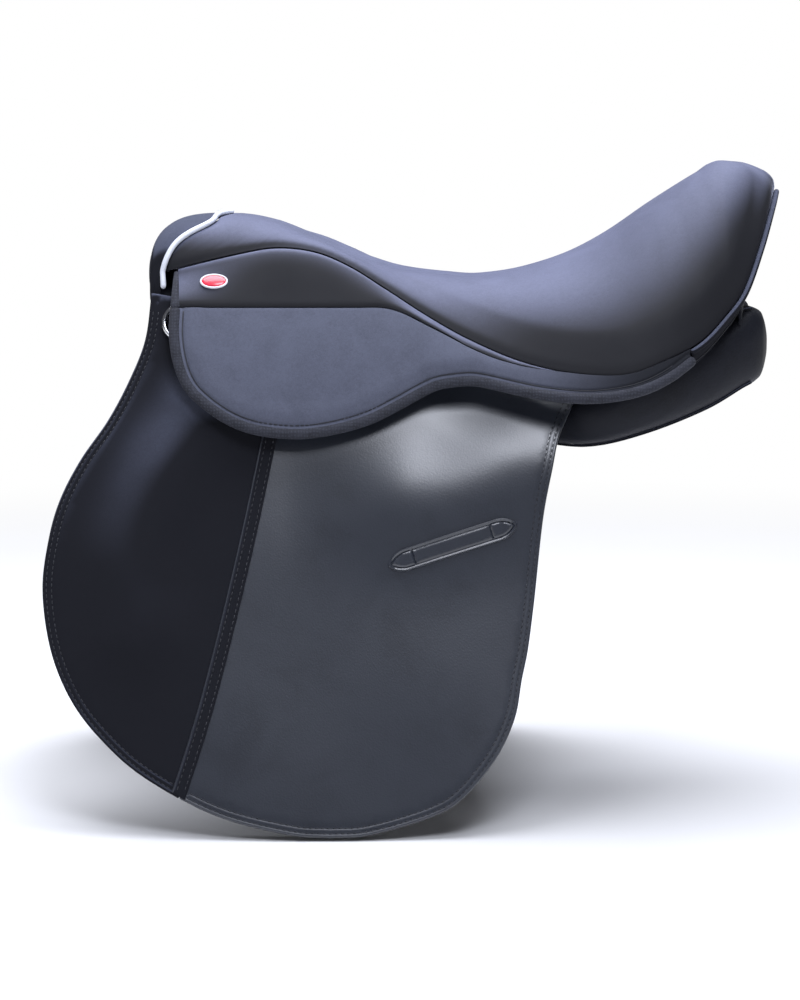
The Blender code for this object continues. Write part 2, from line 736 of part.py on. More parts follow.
def build_tree():
    tree = shell("tree", tree_rows(SEAT_PLACES[:-1], 0), TREE_WALL, "tree_polymer")

    deep = TREE_WALL + 2 * LAYER_GAP
    rows = tree_rows(SEAT_PLACES[:3], deep)
    plate = shell("gullet_plate", [row[1:-1] for row in rows], GULLET_PLATE, "steel")

    for name, side in SIDES:
        place, across = SEAT_PLACES[1], side * SCREW_ACROSS
        top = under_skin(place, across, tree_depth(place, across))
        way = skin_normal(place, across)
        low = -(deep + GULLET_PLATE + 3 * LAYER_GAP)
        rounds = [(SCREW_HEAD, low - SCREW_CROWN, low), (SCREW_SHANK, low, -SCREW_END)]
        screw = add_object(f"gullet_screw_{name}", pin_mesh(f"gullet_screw_{name}", rounds), "steel")
        screw.matrix_world = aim(top, way)
        hole = [(SCREW_SHANK + GAP, low - HOLE_PAST, HOLE_PAST)]
        cutter = add_cutter(f"screw_hole_{name}", pin_mesh(f"screw_hole_{name}", hole))
        cutter.matrix_world = aim(top, way)
        cut(tree, cutter)
        cut(plate, cutter)
    return tree


# Bands round the cantle
def build_cantle():
    last = len(SEAT_RIBS) - 1
    step = (last - CANTLE_START) / (CANTLE_STEPS + 1)
    half = [rib_seam(CANTLE_START + step * k) for k in range(CANTLE_STEPS)]
    middle = rib_seam(last)
    line = [mirror(point, -1) for point in half] + [middle] + half[::-1]
    tops = [point - Vector((0, 0, WELT_DROP)) for point in line]
    low = Vector((0, 0, -WELT_RADIUS - GAP))
    welt = [point + edge_out(point) * WELT_PROUD + low for point in tops]
    add_object("cantle_welt", tube_curve("cantle_welt", welt, WELT_RADIUS), "dark_suede")
    rows = [[facing_point(point, share) for point in line] for share in (0, 0.5, 1)]
    shell("cantle_facing", rows, FACING_LEATHER, "dark_suede")


def facing_point(point, share):
    """Below a point of the cantle's seam, from the band's upper edge at 0 to its lower at 1."""
    drop = Vector((0, 0, WELT_DROP + 2 * WELT_RADIUS + 3 * GAP + FACING_BAND * share))
    return point - edge_out(point) * (FACING_INSET + FACING_SLOPE * share) - drop


def mirror(point, side):
    return Vector((point.x, side * point.y, point.z))


def edge_out(point):
    """Level direction away from the seat at a point of the cantle's seam."""
    return Vector((point.x - CANTLE_MIDDLE, point.y, 0)).normalized()


# Skirts
def yoke_seam(x):
    return at_x(YOKE_LINE, x)


def seat_seam(x):
    return at_x([seam for _, seam, _ in SEAT_RIBS], x)


def seam_slope(x):
    """Direction in which the seat's surface leaves its seam on the far side."""
    angle = math.radians(at_x([(seam[0], slope) for _, seam, slope in SEAT_RIBS], x)[1])
    return Vector((0, math.cos(angle), -math.sin(angle)))


def seam_clear(x):
    """Half the groove between yoke and lobe, wider where the seam runs downhill."""
    return SEAM_GAP / 2 * (1 + ease(x / 0.010) + ease((x - LOBE_END) / 0.004))


def front_stations():
    reach = LOBE_END - SKIRT_FRONT
    return [SKIRT_FRONT + reach * share for share in STATION_SHARES]


def tail_stations():
    start, end = LOBE_END + LOBE_TAIL_GAP, TAIL_EDGE[-1][0]
    return [start + (end - start) * k / 10 for k in range(11)]


def build_yoke(name, side):
    rows = []
    for x in front_stations() + tail_stations()[:3]:
        start = seam_slope(x)
        top = seat_seam(x) + start * SEAM_GAP - Vector((0, 0, YOKE_DROP))
        foot = yoke_seam(x) + Vector((0, 0, seam_clear(x)))
        chord = (foot - top).length
        way = foot - top
        if x <= LOBE_END:
            way = lobe_surface(x, foot.z - LOBE_STEP) - lobe_surface(x, foot.z)
        start_way = start * chord * YOKE_FULLNESS
        row = [hermite(top, start_way, foot, way.normalized() * chord, share)
               for share in YOKE_SHARES]
        rows.append([mirror(point, side) for point in row])
    shell(f"{name}_yoke", rows, SKIRT_LEATHER, "skirt_nubuck", flip=side < 0)


def lobe_surface(x, z):
    """Point of the lobe's outer surface at this x and z, on the far side."""
    top = yoke_seam(x)
    foot = at_x(LOBE_FOOT, x)
    share = (top.z - z) / (top.z - foot.z)
    tuck = LOBE_TUCK * (1 - ease((x - LOBE_EDGE[0][0]) / TUCK_LENGTH)) * share
    y = top.y + (foot.y - top.y) * share + 4 * LOBE_BULGE * share * (1 - share) - tuck
    return Vector((x, y, z))


def edge_below(x):
    """Height of the binding's centre line under this x."""
    lower = LOBE_EDGE[1:]
    return at_x(lower, x)[1]


def build_lobe(name, side, hinge):
    rows = []
    for x in front_stations():
        top = yoke_seam(x).z - seam_clear(x)
        foot = edge_below(x)
        heights = [top + (foot - top) * j / 6 for j in range(7)]
        rows.append([mirror(lobe_surface(x, z), side) for z in heights])
    lobe = shell(f"{name}_skirt", rows, SKIRT_LEATHER, "skirt_nubuck", flip=side < 0)
    path = [mirror(lobe_surface(p[0], p[1]), side) for p in smooth(LOBE_EDGE, 2)]
    inset = Vector((0, -side * (SKIRT_LEATHER / 2), 0))
    path = [point + inset for point in path]
    binding = add_object(
        f"{name}_skirt_binding", tube_curve(f"{name}_skirt_binding", path, BINDING_RADIUS),
        "dark_suede")
    before = path[0] * 2 - path[1]
    after = path[-1] * 2 - path[-2]
    groove = add_cutter(
        f"{name}_binding_groove",
        tube_curve("groove", [before, *path, after], BINDING_RADIUS + GAP))
    cut(lobe, as_mesh(groove))
    for piece in (lobe, binding):
        hang(piece, hinge)


def build_tail(name, side):
    rows = []
    for x in tail_stations():
        start = seam_slope(x)
        top = seat_seam(x) + start * SEAM_GAP
        if x <= tail_stations()[2]:
            top = yoke_seam(x) - Vector((0, 0, seam_clear(x)))
            start = (yoke_seam(x) - seat_seam(x)).normalized()
        foot = at_x(TAIL_EDGE, x)
        foot.x = x
        chord = (foot - top).length
        row = [hermite(top, start * chord, foot, Vector(TAIL_TURN) * chord, share)
               for share in (0, 0.5, 1)]
        rows.append([mirror(point, side) for point in row])
    tail = shell(f"{name}_skirt_tail", rows, SKIRT_LEATHER, "skirt_nubuck", flip=side < 0)
    path = [mirror(p, side) + Vector((0, -side * SKIRT_LEATHER / 2, 0))
            for p in smooth(TAIL_EDGE, 2)]
    path[0].x += TAIL_BINDING_START
    add_object(
        f"{name}_tail_binding", tube_curve(f"{name}_tail_binding", path, BINDING_RADIUS),
        "dark_suede")
    before = path[0] * 2 - path[1]
    after = path[-1] * 2 - path[-2]
    groove = add_cutter(
        f"{name}_tail_groove",
        tube_curve("groove", [before, *path, after], BINDING_RADIUS + GAP))
    cut(tail, as_mesh(groove))


def build_badge(name, side):
    middle = seat_seam(BADGE_X).lerp(yoke_seam(BADGE_X), 0.5)
    out = Vector((0, math.sin(BADGE_LEAN), math.cos(BADGE_LEAN)))
    outline = []
    for k in range(20):
        turn = 2 * math.pi * k / 20
        outline.append((math.cos(turn) * BADGE_LENGTH / 2, math.sin(turn) * BADGE_HEIGHT / 2))
    badge = add_object(
        f"{name}_badge", plate_curve(f"{name}_badge", outline, BADGE_THICK), "badge_enamel")
    badge.rotation_euler.x = -side * BADGE_LEAN
    badge.location = mirror(middle + out * (BADGE_THICK / 2 + BADGE_PROUD), side)


# Flaps
def edge_x(points, down):
    """x of an edge line that runs down the flap, at this way down."""
    turned = sorted([(p[1], p[0]) for p in points])
    return at_x(turned, down)[1]


def seam_x(down):
    return edge_x(FLAP_SEAM, down)


def seam_line(downs, shift):
    return [(seam_x(down) + shift, down) for down in downs]


def build_flap(name, side, hinge):
    top = FLAP_FOLD + GAP / 2
    foot = FLAP_SEAM[-1][1]
    downs = (top, *SEAM_DOWNS, foot + SEAM_PAST)
    front = [(p[0], p[1]) for p in smooth(FLAP_FRONT, 2)]
    rear = [(p[0], p[1]) for p in smooth(FLAP_REAR, 2)]
    edge = [p for p in front if p[0] < seam_x(p[1]) and p[1] > top]
    line = [(edge_x(FLAP_FRONT[:8], top), top)] + edge + seam_line(downs[::-1], -GAP / 2)
    front_piece = flap_plate(f"{name}_flap_front", side, line, 0, FLAP_LEATHER, "dark_suede")
    edge = [p for p in front if p[0] > seam_x(p[1]) + SEAM_PAST / 2] + [p for p in rear if p[1] > top]
    line = seam_line(downs, GAP / 2) + edge + [(edge_x(FLAP_REAR[6:], top), top)]
    rear_piece = flap_plate(f"{name}_flap_rear", side, line, 0, FLAP_LEATHER, "flap_leather")
    wide = SEAM_WIDTH / 2
    downs = (top + GAP, *SEAM_DOWNS, foot)
    line = seam_line(downs, -wide) + seam_line(downs[::-1], wide)
    strip = flap_plate(
        f"{name}_flap_seam", side, line, SEAM_THICK + GAP, SEAM_THICK, "dark_suede")
    tab = flap_plate(
        f"{name}_flap_tab", side, tab_outline(), TAB_THICK + GAP, TAB_THICK, "flap_leather")
    for piece in (front_piece, rear_piece, strip, tab):
        hang(piece, hinge)


def tab_outline():
    start, end = Vector(TAB_FROM), Vector(TAB_TO)
    way = end - start
    across = Vector((-way.y, way.x)).normalized()
    steps = 8
    shares = [k / steps for k in range(steps + 1)]
    widths = [TAB_WIDTH / 2 * max(math.sin(math.pi * share), 0) ** TAB_ROUND for share in shares]
    upper = [start + way * share + across * wide for share, wide in zip(shares, widths)]
    lower = [start + way * share - across * wide for share, wide in zip(shares, widths)]
    return [tuple(point) for point in upper[:-1] + lower[:0:-1]]


def build_flap_root(name, side):
    foot = FLAP_FOLD - GAP / 2
    upper = [(p[0], p[1]) for p in smooth(FLAP_ROOT_TOP, 2)]
    rear = [(p[0], p[1]) for p in smooth(FLAP_REAR[::-1], 2) if p[1] < foot][1:]
    front = [(p[0], p[1]) for p in smooth(FLAP_FRONT, 2) if p[1] < foot][1:]
    line = upper + rear + [(edge_x(FLAP_REAR[6:], foot), foot), (edge_x(FLAP_FRONT[:8], foot), foot)]
    line += front[::-1]
    low, high = BAR_DOWN - BAR_HEIGHT / 2 - BAR_ROOM, BAR_DOWN + BAR_HEIGHT / 2 + BAR_ROOM
    fore, aft = BAR_FRONT - BAR_ROOM, BAR_FRONT + BAR_NECK + BAR_ROOM
    slot = [(fore, low), (aft, low), (aft, high), (fore, high)]
    flap_plate(f"{name}_flap_root", side, line, 0, FLAP_LEATHER, "dark_suede", holes=(slot,))


def build_sweat_flap(name, side):
    closed = SWEAT_OUTLINE + SWEAT_OUTLINE[:1]
    line = [(p[0], p[1]) for p in smooth(closed, 2)[:-1]]
    flap_plate(f"{name}_sweat_flap", side, line, SWEAT_OUT, SWEAT_LEATHER, "panel_leather")


def build_knee_roll(name, side):
    path = smooth(ROLL_LINE, 3)
    half = FLAP_SPACE / 2 - GAP
    middle = -FLAP_LEATHER - FLAP_SPACE / 2
    rings = []
    count = len(path)
    for k, point in enumerate(path):
        share = k / (count - 1)
        swell = ROLL_END + (1 - ROLL_END) * math.sin(math.pi * min(max(share, 0.04), 0.96)) ** 0.5
        way = (path[min(k + 1, count - 1)] - path[max(k - 1, 0)]).normalized()
        across = Vector((-way.y, way.x))
        ring = []
        for j in range(12):
            turn = 2 * math.pi * j / 12
            flat = point + across * (ROLL_HALF * swell * math.cos(turn))
            ring.append(on_flap(side, flat.x, flat.y, middle + half * swell * math.sin(turn)))
        rings.append(ring)
    loft(f"{name}_knee_roll", rings, "panel_leather")


# Panels
def panel_sections():
    """Sections as centre, half width along the lean, half thickness and lean in degrees."""
    sections = []
    wall_lean = 90 - math.degrees(FLAP_TILT)
    for x, half, thick, less, inwards in PANEL_FRONT:
        centre = on_flap(1, x, PANEL_DOWN, WALL_OUT - TREE_WALL - GAP - thick)
        sections.append((centre - Vector((0, inwards, 0)), half, thick, wall_lean - less))
    for x, y, z, half, thick, lean in PANEL_REST:
        sections.append((Vector((x, y, z)), half, thick, lean))
    return sections


def build_panel(name, side):
    rings = []
    for centre, half, thick, lean in panel_sections():
        angle = math.radians(lean)
        along_way = Vector((0, math.cos(angle), -math.sin(angle)))
        out_way = Vector((0, math.sin(angle), math.cos(angle)))
        ring = []
        for j in range(20):
            turn = 2 * math.pi * j / 20
            power = 2 / PANEL_SQUARE
            a = math.copysign(abs(math.cos(turn)) ** power, math.cos(turn)) * half
            b = math.copysign(abs(math.sin(turn)) ** power, math.sin(turn)) * thick
            ring.append(mirror(centre + along_way * a + out_way * b, side))
        rings.append(ring)
    loft(f"{name}_panel", rings, "panel_leather")


def build_panel_back():
    last = len(SEAT_RIBS) - 1
    half = []
    for k in range(BACK_STEPS + 1):
        top = facing_point(rib_seam(BACK_START + (last - BACK_START) * k / BACK_STEPS), 1)
        top.z -= BACK_DROP
        y, x, z = at_x(BACK_EDGE, top.y)
        foot = Vector((x, y, z))
        half.append([top, top.lerp(foot, 0.5), foot])
    columns = [[mirror(point, -1) for point in column] for column in half[:-1]] + half[::-1]
    rows = [[column[j] for column in columns] for j in range(3)]
    shell("panel_back", rows, BACK_LEATHER, "panel_leather")


def build_front_arch():
    outer, inner = [], []
    for k in range(17):
        turn = math.pi * k / 16
        spread = -math.cos(turn)
        fall = ARCH_HALF * ARCH_FALL * (1 - math.sin(turn) ** ARCH_ROUND)
        outer.append((spread * ARCH_HALF, ARCH_TOP - fall))
        inner.append((spread * (ARCH_HALF - ARCH_THICK), ARCH_TOP - ARCH_THICK - fall))
    foot = ARCH_HALF + ARCH_SPREAD
    line = [(-foot, ARCH_FOOT)] + outer + [(foot, ARCH_FOOT), (foot - ARCH_THICK, ARCH_FOOT)]
    line += inner[::-1] + [(-foot + ARCH_THICK, ARCH_FOOT)]
    arch = add_object("front_arch", plate_curve("front_arch", line, ARCH_LENGTH), "panel_leather")
    arch.rotation_euler = (math.pi / 2, 0, math.pi / 2)
    arch.location = (ARCH_FRONT + ARCH_LENGTH / 2, 0, 0)


# Stirrup bars
def build_bar(name, side, tree, hinge):
    inner = WALL_OUT + GAP
    rod_in = BAR_STAND
    rod_out = rod_in + BAR_ROD
    fore, neck, back = BAR_FRONT, BAR_FRONT + BAR_NECK, BAR_BACK
    rod_back = back - CATCH_LENGTH
    line = [
        (fore, inner), (back, inner), (back, inner + BAR_PLATE), (neck, inner + BAR_PLATE),
        (neck, rod_in), (rod_back, rod_in), (rod_back, rod_out), (fore, rod_out),
    ]
    bar = add_object(f"{name}_stirrup_bar", plate_curve("bar", line, BAR_HEIGHT), "steel")
    bar = as_mesh(bar)
    down = Vector((0, side * math.sin(FLAP_TILT), -math.cos(FLAP_TILT)))
    out = flap_normal(side)
    frame = Matrix((
        (1, 0, 0, 0), (0, out.y, down.y, 0), (0, out.z, down.z, 0), (0, 0, 0, 1)))
    bar.data.transform(frame)
    if side > 0:
        bar.data.flip_normals()
    bar.location = on_flap(side, 0, BAR_DOWN, 0)
    edge = bar.modifiers.new("edge", "BEVEL")
    edge.width = BAR_EDGE
    edge.segments = 1
    edge.limit_method = "ANGLE"
    for index, x in enumerate(RIVET_X):
        top = on_flap(side, x, BAR_DOWN, inner + BAR_PLATE)
        rounds = [(RIVET_SHANK, -BAR_PLATE - TREE_WALL + RIVET_SHORT, GAP),
                  (RIVET_HEAD, GAP, GAP + RIVET_CROWN / 2),
                  (RIVET_HEAD * RIVET_ROUND, GAP + RIVET_CROWN / 2, GAP + RIVET_CROWN)]
        label = f"{name}_bar_rivet_{('front', 'rear')[index]}"
        rivet = add_object(label, pin_mesh(label, rounds), "steel")
        rivet.matrix_world = aim(top, out)
        hole = [(RIVET_SHANK + GAP, -BAR_PLATE - TREE_WALL - HOLE_PAST, HOLE_PAST)]
        cutter = add_cutter(f"{label}_hole", pin_mesh(f"{label}_hole", hole))
        cutter.matrix_world = aim(top, out)
        cut(bar, cutter)
        cut(tree, cutter)
    radius = BAR_HEIGHT / 2 - CATCH_LESS
    pivot = rod_back + radius + WORKING_GAP
    outline = []
    for k in range(9):
        turn = math.pi / 2 + math.pi * k / 8
        outline.append((pivot + radius * math.cos(turn), BAR_DOWN + radius * math.sin(turn)))
    tail = pivot + CATCH_LENGTH - radius
    outline += [(tail - CATCH_CORNER, BAR_DOWN - radius), (tail, BAR_DOWN - radius * 0.4),
                (tail, BAR_DOWN + radius * 0.4), (tail - CATCH_CORNER, BAR_DOWN + radius)]
    catch = flap_plate(
        f"{name}_bar_catch", side, outline, rod_out - GAP, BAR_ROD - 2 * GAP, "steel")
    hinge.location = on_flap(side, pivot, BAR_DOWN, rod_in + BAR_ROD / 2)
    bpy.context.view_layer.update()
    hang(catch, hinge)


# Dee ring and its tab
def build_dee(name, side, hinge):
    ring = bpy.data.meshes.new(f"{name}_dee_ring")
    form = bmesh.new()
    turns, sides = 28, 8
    loops = []
    for k in range(turns):
        turn = 2 * math.pi * k / turns
        loop = []
        for j in range(sides):
            lean = 2 * math.pi * j / sides
            reach = RING_RADIUS + RING_WIRE * math.cos(lean)
            x = RING_X + reach * math.sin(turn)
            down = RING_DOWN + reach * math.cos(turn)
            loop.append(form.verts.new(
                on_flap(side, x, down, RING_OUT + RING_WIRE * math.sin(lean))))
        loops.append(loop)
    for k in range(turns):
        one, two = loops[k], loops[(k + 1) % turns]
        for j in range(sides):
            form.faces.new([one[j], one[(j + 1) % sides], two[(j + 1) % sides], two[j]])
    bmesh.ops.recalc_face_normals(form, faces=form.faces)
    form.to_mesh(ring)
    form.free()
    ring.shade_smooth()
    ring_item = add_object(f"{name}_dee_ring", ring, "steel")
    ring_top = RING_DOWN - RING_RADIUS
    wide = TAB_LEATHER_WIDTH / 2
    outline = [
        (RING_X - wide, RING_TAB_TOP), (RING_X + wide, RING_TAB_TOP),
        (RING_X + wide * RING_TAB_TAPER, ring_top + RING_TAB_PAST),
        (RING_X - wide * RING_TAB_TAPER, ring_top + RING_TAB_PAST),
    ]
    tab = as_mesh(flap_plate(
        f"{name}_dee_tab", side, outline, RING_OUT + TAB_LEATHER_THICK / 2, TAB_LEATHER_THICK,
        "strap_leather"))
    path = []
    for k in range(-6, 7):
        turn = RING_HOLD * k / 6 + math.pi
        path.append(on_flap(
            side, RING_X + RING_RADIUS * math.sin(turn), RING_DOWN + RING_RADIUS * math.cos(turn),
            RING_OUT))
    groove = add_cutter(f"{name}_dee_groove", tube_curve("groove", path, RING_WIRE + GAP, 3))
    cut(tab, as_mesh(groove))
    for piece in (ring_item, tab):
        hang(piece, hinge)


# Girth straps and their web
def build_straps(name, side):
    outer = SWEAT_OUT + GAP + STRAP_LEATHER
    half = STRAP_WIDTH / 2
    first = STRAP_FIRST - half - WEB_PAST
    last = STRAP_FIRST + STRAP_SPACING * (STRAP_COUNT - 1) + half + WEB_PAST
    low = STRAP_TOP - WORKING_GAP
    high = low - WEB_HEIGHT
    line = [(first, high), (0.0, high), (last, low - STRAP_POINT), (last, low), (first, low)]
    flap_plate(f"{name}_girth_web", side, line, outer, STRAP_LEATHER, "strap_leather")
    foot = STRAP_TOP + STRAP_LENGTH
    shape = [
        (0, STRAP_TOP), (half - STRAP_CORNER, STRAP_TOP + STRAP_CORNER / 3),
        (half, STRAP_TOP + STRAP_CORNER), (half, foot - STRAP_TIP),
        (half * 0.5, foot - STRAP_POINT), (0, foot),
    ]
    for k, label in enumerate(("front", "middle", "rear")):
        x = STRAP_FIRST + STRAP_SPACING * k
        line = [(x + wide, down) for wide, down in shape]
        line += [(x - wide, down) for wide, down in shape[-2:0:-1]]
        node = f"{name}_girth_strap_{label}"
        strap = flap_plate(node, side, line, outer, STRAP_LEATHER, "strap_leather")
        middle = outer - STRAP_LEATHER / 2
        hang(strap, make_hinge(f"{node}_hinge", on_flap(side, x, STRAP_TOP, middle)))


def build_side(name, side, tree):
    fold = make_hinge(f"{name}_skirt_hinge", (0, side * FOLD_HALF, FOLD_HEIGHT))
    lift = make_hinge(f"{name}_flap_hinge", on_flap(side, 0, FLAP_FOLD, 0))
    swing = make_hinge(f"{name}_dee_hinge", on_flap(side, RING_X, RING_TAB_TOP, RING_OUT))
    thumb = make_hinge(f"{name}_catch_hinge", on_flap(side, BAR_BACK, BAR_DOWN, 0))
    build_yoke(name, side)
    build_lobe(name, side, fold)
    build_tail(name, side)
    build_badge(name, side)
    build_flap(name, side, lift)
    build_flap_root(name, side)
    build_sweat_flap(name, side)
    build_knee_roll(name, side)
    build_panel(name, side)
    build_bar(name, side, tree, thumb)
    build_dee(name, side, swing)
    build_straps(name, side)


clear_scene()
parts = make_collection("all_purpose_saddle")
cutters = make_collection("cutters")
build_seat()
saddle_tree = build_tree()
build_cantle()
build_front_arch()
build_panel_back()
for side_name, side_sign in SIDES:
    build_side(side_name, side_sign, saddle_tree)
bpy.context.view_layer.update()
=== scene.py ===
import math

import bmesh
import bpy
import numpy as np
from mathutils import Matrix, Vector
from mathutils.geometry import delaunay_2d_cdt


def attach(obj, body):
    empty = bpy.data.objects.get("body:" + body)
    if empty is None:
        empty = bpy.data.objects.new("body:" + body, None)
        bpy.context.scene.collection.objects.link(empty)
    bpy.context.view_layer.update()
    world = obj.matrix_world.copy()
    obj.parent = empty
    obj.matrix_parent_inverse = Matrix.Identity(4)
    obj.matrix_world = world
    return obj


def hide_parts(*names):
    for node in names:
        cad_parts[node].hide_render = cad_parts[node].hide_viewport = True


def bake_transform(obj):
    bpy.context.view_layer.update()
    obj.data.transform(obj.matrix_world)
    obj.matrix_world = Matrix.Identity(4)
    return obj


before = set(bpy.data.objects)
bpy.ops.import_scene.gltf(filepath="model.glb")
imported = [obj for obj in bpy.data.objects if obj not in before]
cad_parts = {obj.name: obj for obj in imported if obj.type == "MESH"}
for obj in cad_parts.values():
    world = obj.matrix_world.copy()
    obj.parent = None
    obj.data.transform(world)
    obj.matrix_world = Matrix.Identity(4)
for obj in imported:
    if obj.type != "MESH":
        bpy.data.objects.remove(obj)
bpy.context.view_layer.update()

sides = {"left": -1, "right": 1}

# Form of the seat in metres: x runs from pommel to cantle, z is up, and the far side has +y
seat = {
    "line": np.array([
        (-0.136, 0.1440), (-0.111, 0.1430), (-0.089, 0.1385), (-0.069, 0.1315), (-0.045, 0.1215),
        (-0.020, 0.1120), (0.004, 0.1040), (0.047, 0.0984), (0.071, 0.1000), (0.102, 0.1065),
        (0.133, 0.1170), (0.163, 0.1330), (0.194, 0.1540), (0.225, 0.1735), (0.241, 0.1825),
    ]),  # middle of the seat, as x and z
    "ribs": np.array([
        (-0.136, 84, -0.1835, 0.0580, 0.1010), (-0.129, 74, -0.1700, 0.0590, 0.1055),
        (-0.105, 58, -0.1250, 0.0610, 0.1165), (-0.085, 52, -0.0950, 0.0620, 0.1213),
        (-0.060, 50, -0.0650, 0.0630, 0.1180), (-0.035, 50, -0.0380, 0.0670, 0.1070),
        (-0.010, 52, -0.0100, 0.0750, 0.0900), (0.018, 54, 0.0180, 0.0860, 0.0725),
        (0.050, 56, 0.0500, 0.0980, 0.0550), (0.088, 60, 0.0900, 0.1130, 0.0388),
        (0.125, 63, 0.1300, 0.1270, 0.0305), (0.158, 66, 0.1700, 0.1365, 0.0300),
        (0.185, 68, 0.2040, 0.1320, 0.0420), (0.206, 70, 0.2285, 0.1200, 0.0540),
        (0.220, 72, 0.2480, 0.1050, 0.0720), (0.229, 74, 0.2635, 0.0900, 0.0906),
        (0.235, 76, 0.2780, 0.0640, 0.1225), (0.239, 78, 0.2900, 0.0320, 0.1530),
        (0.241, 80, 0.2965, 0.0000, 0.1645),
    ]),  # x in the middle, slope at the seam in degrees, and the seam's point
    "fullness": 1.18,
    "cover": 0.0030,
    "foam": 0.0040,
}
flap = {
    "tilt": math.radians(20.3),  # how far its plane leans out
    "half": 0.0700,  # from the middle to its outer face, at the top line
    "high": 0.0850,
    "leather": 0.0040,
    "space": 0.0125,  # between flap and sweat flap
    "front": np.array([
        (-0.1915, -0.001), (-0.1957, 0.036), (-0.2072, 0.068), (-0.2231, 0.100),
        (-0.2434, 0.131), (-0.2583, 0.162), (-0.2662, 0.193), (-0.2699, 0.232),
        (-0.2629, 0.277), (-0.2473, 0.3144), (-0.2248, 0.344), (-0.1914, 0.3733),
        (-0.1371, 0.4024), (-0.0819, 0.4168), (-0.0512, 0.4190),
    ]),  # x and the way down
    "rear": np.array([
        (-0.0512, 0.4190), (-0.0219, 0.4168), (0.0257, 0.4024), (0.0485, 0.3879), (0.0723, 0.3587),
        (0.0860, 0.3292), (0.0915, 0.300), (0.0963, 0.277), (0.1014, 0.239), (0.1084, 0.178),
        (0.1159, 0.139), (0.1209, 0.1146), (0.1289, 0.0948), (0.1329, 0.0853),
    ]),
    "top": np.array([
        (0.1329, 0.0853), (0.0900, 0.079), (0.0500, 0.066), (0.0200, 0.045), (-0.0100, 0.022),
        (-0.0400, 0.008), (-0.0900, 0.004), (-0.1600, 0.003), (-0.1915, -0.001),
    ]),
    "seam": np.array([
        (-0.050, -0.0700), (0.030, -0.0830), (0.112, -0.0985), (0.209, -0.1180), (0.3144, -0.1425),
        (0.3870, -0.1640), (0.4000, -0.1690),
    ]),  # way down and x of the seam between its two leathers
    "rollIn": 0.0050,  # how far its upper edge rolls in
    "bulge": 0.0100,  # how far it stands out below the skirt
    "rows": (0.0030, 0.0070),  # stitches, from the edge inwards
    "pitch": 0.0044,
    "strip": 0.00525,  # half width of the strip over the seam
    "stripFrom": 0.092,
}
skirt = {
    "leather": 0.0035,
    "foldHigh": 0.0760,  # height of the line that the skirt is lifted about
    "front": -0.1715,
    "yokeLine": np.array([
        (-0.1720, 0.0860, 0.0760), (-0.1200, 0.0860, 0.0760), (-0.0700, 0.0860, 0.0760),
        (-0.0350, 0.0860, 0.0760), (-0.0120, 0.0862, 0.0757), (0.0050, 0.0900, 0.0710),
        (0.0200, 0.0960, 0.0640), (0.0384, 0.1010, 0.0550), (0.0513, 0.1045, 0.0480),
        (0.0700, 0.1100, 0.0400), (0.0850, 0.1146, 0.0358), (0.1020, 0.1192, 0.0322),
        (0.1250, 0.1264, 0.0297), (0.1500, 0.1330, 0.0285),
    ]),  # seam under the yoke
    "foot": np.array([
        (-0.1720, 0.1260, -0.0200), (-0.0750, 0.1260, -0.0200), (-0.0450, 0.1240, -0.0150),
        (-0.0150, 0.1205, -0.0060), (0.0100, 0.1165, 0.0050), (0.0300, 0.1140, 0.0160),
        (0.0500, 0.1135, 0.0210),
    ]),
    "edge": np.array([
        (-0.1722, 0.0730), (-0.1724, 0.0554), (-0.1685, 0.0342), (-0.1605, 0.0172),
        (-0.1480, 0.0055), (-0.1310, -0.0059), (-0.1127, -0.0131), (-0.0931, -0.0163),
        (-0.0749, -0.0170), (-0.0570, -0.0150), (-0.0388, -0.0112), (-0.0205, -0.0053),
        (0.0000, 0.0049), (0.0250, 0.0182), (0.0430, 0.0236),
    ]),  # middle of the binding, as x and z
    "tailEdge": np.array([
        (0.0460, 0.1125, 0.0241), (0.0671, 0.1170, 0.0206), (0.1002, 0.1280, 0.0142),
        (0.1324, 0.1370, 0.0112), (0.1571, 0.1410, 0.0125), (0.1812, 0.1420, 0.0175),
        (0.2020, 0.1370, 0.0265), (0.2190, 0.1280, 0.0380),
    ]),
    "binding": (0.0042, 0.0039),  # half its width and half its thickness
    "stitchIn": 0.0064,  # from the binding's middle to the sewn groove
    "groove": 0.0009,
    "puff": 0.0016,  # how far the yoke stands out between its seams
    "tip": np.array([(-0.1722, 0.0850, 0.0772), (-0.1728, 0.0605, 0.1005)]),  # bound front end
}


# Lines through points
def hermite(start, startWay, end, endWay, share):
    share = np.asarray(share, float)[..., None]
    square, cube = share ** 2, share ** 3
    return (start * (2 * cube - 3 * square + 1) + startWay * (cube - 2 * square + share)
            + end * (3 * square - 2 * cube) + endWay * (cube - square))


def along(points, place):
    place = np.asarray(place, float)
    longer = np.vstack([points[0] * 2 - points[1], points, points[-1] * 2 - points[-2]])
    here = np.clip(place.astype(int), 0, len(points) - 2)
    before, start, end, after = (longer[here + k] for k in range(4))
    return hermite(start, (end - before) / 2, end, (after - start) / 2, place - here)


def smoothed(points, steps):
    return along(points, np.arange((len(points) - 1) * steps + 1) / steps)


def atX(points, x):
    fine = smoothed(points, 32)
    held = np.clip(x, fine[0, 0], fine[-1, 0])
    return np.stack([np.interp(held, fine[:, 0], fine[:, k]) for k in range(fine.shape[1])], -1)


def ease(share):
    share = np.clip(share, 0, 1)
    return share * share * (3 - 2 * share)


def unit(vectors):
    return vectors / np.maximum(np.linalg.norm(vectors, axis=-1, keepdims=True), 1e-9)


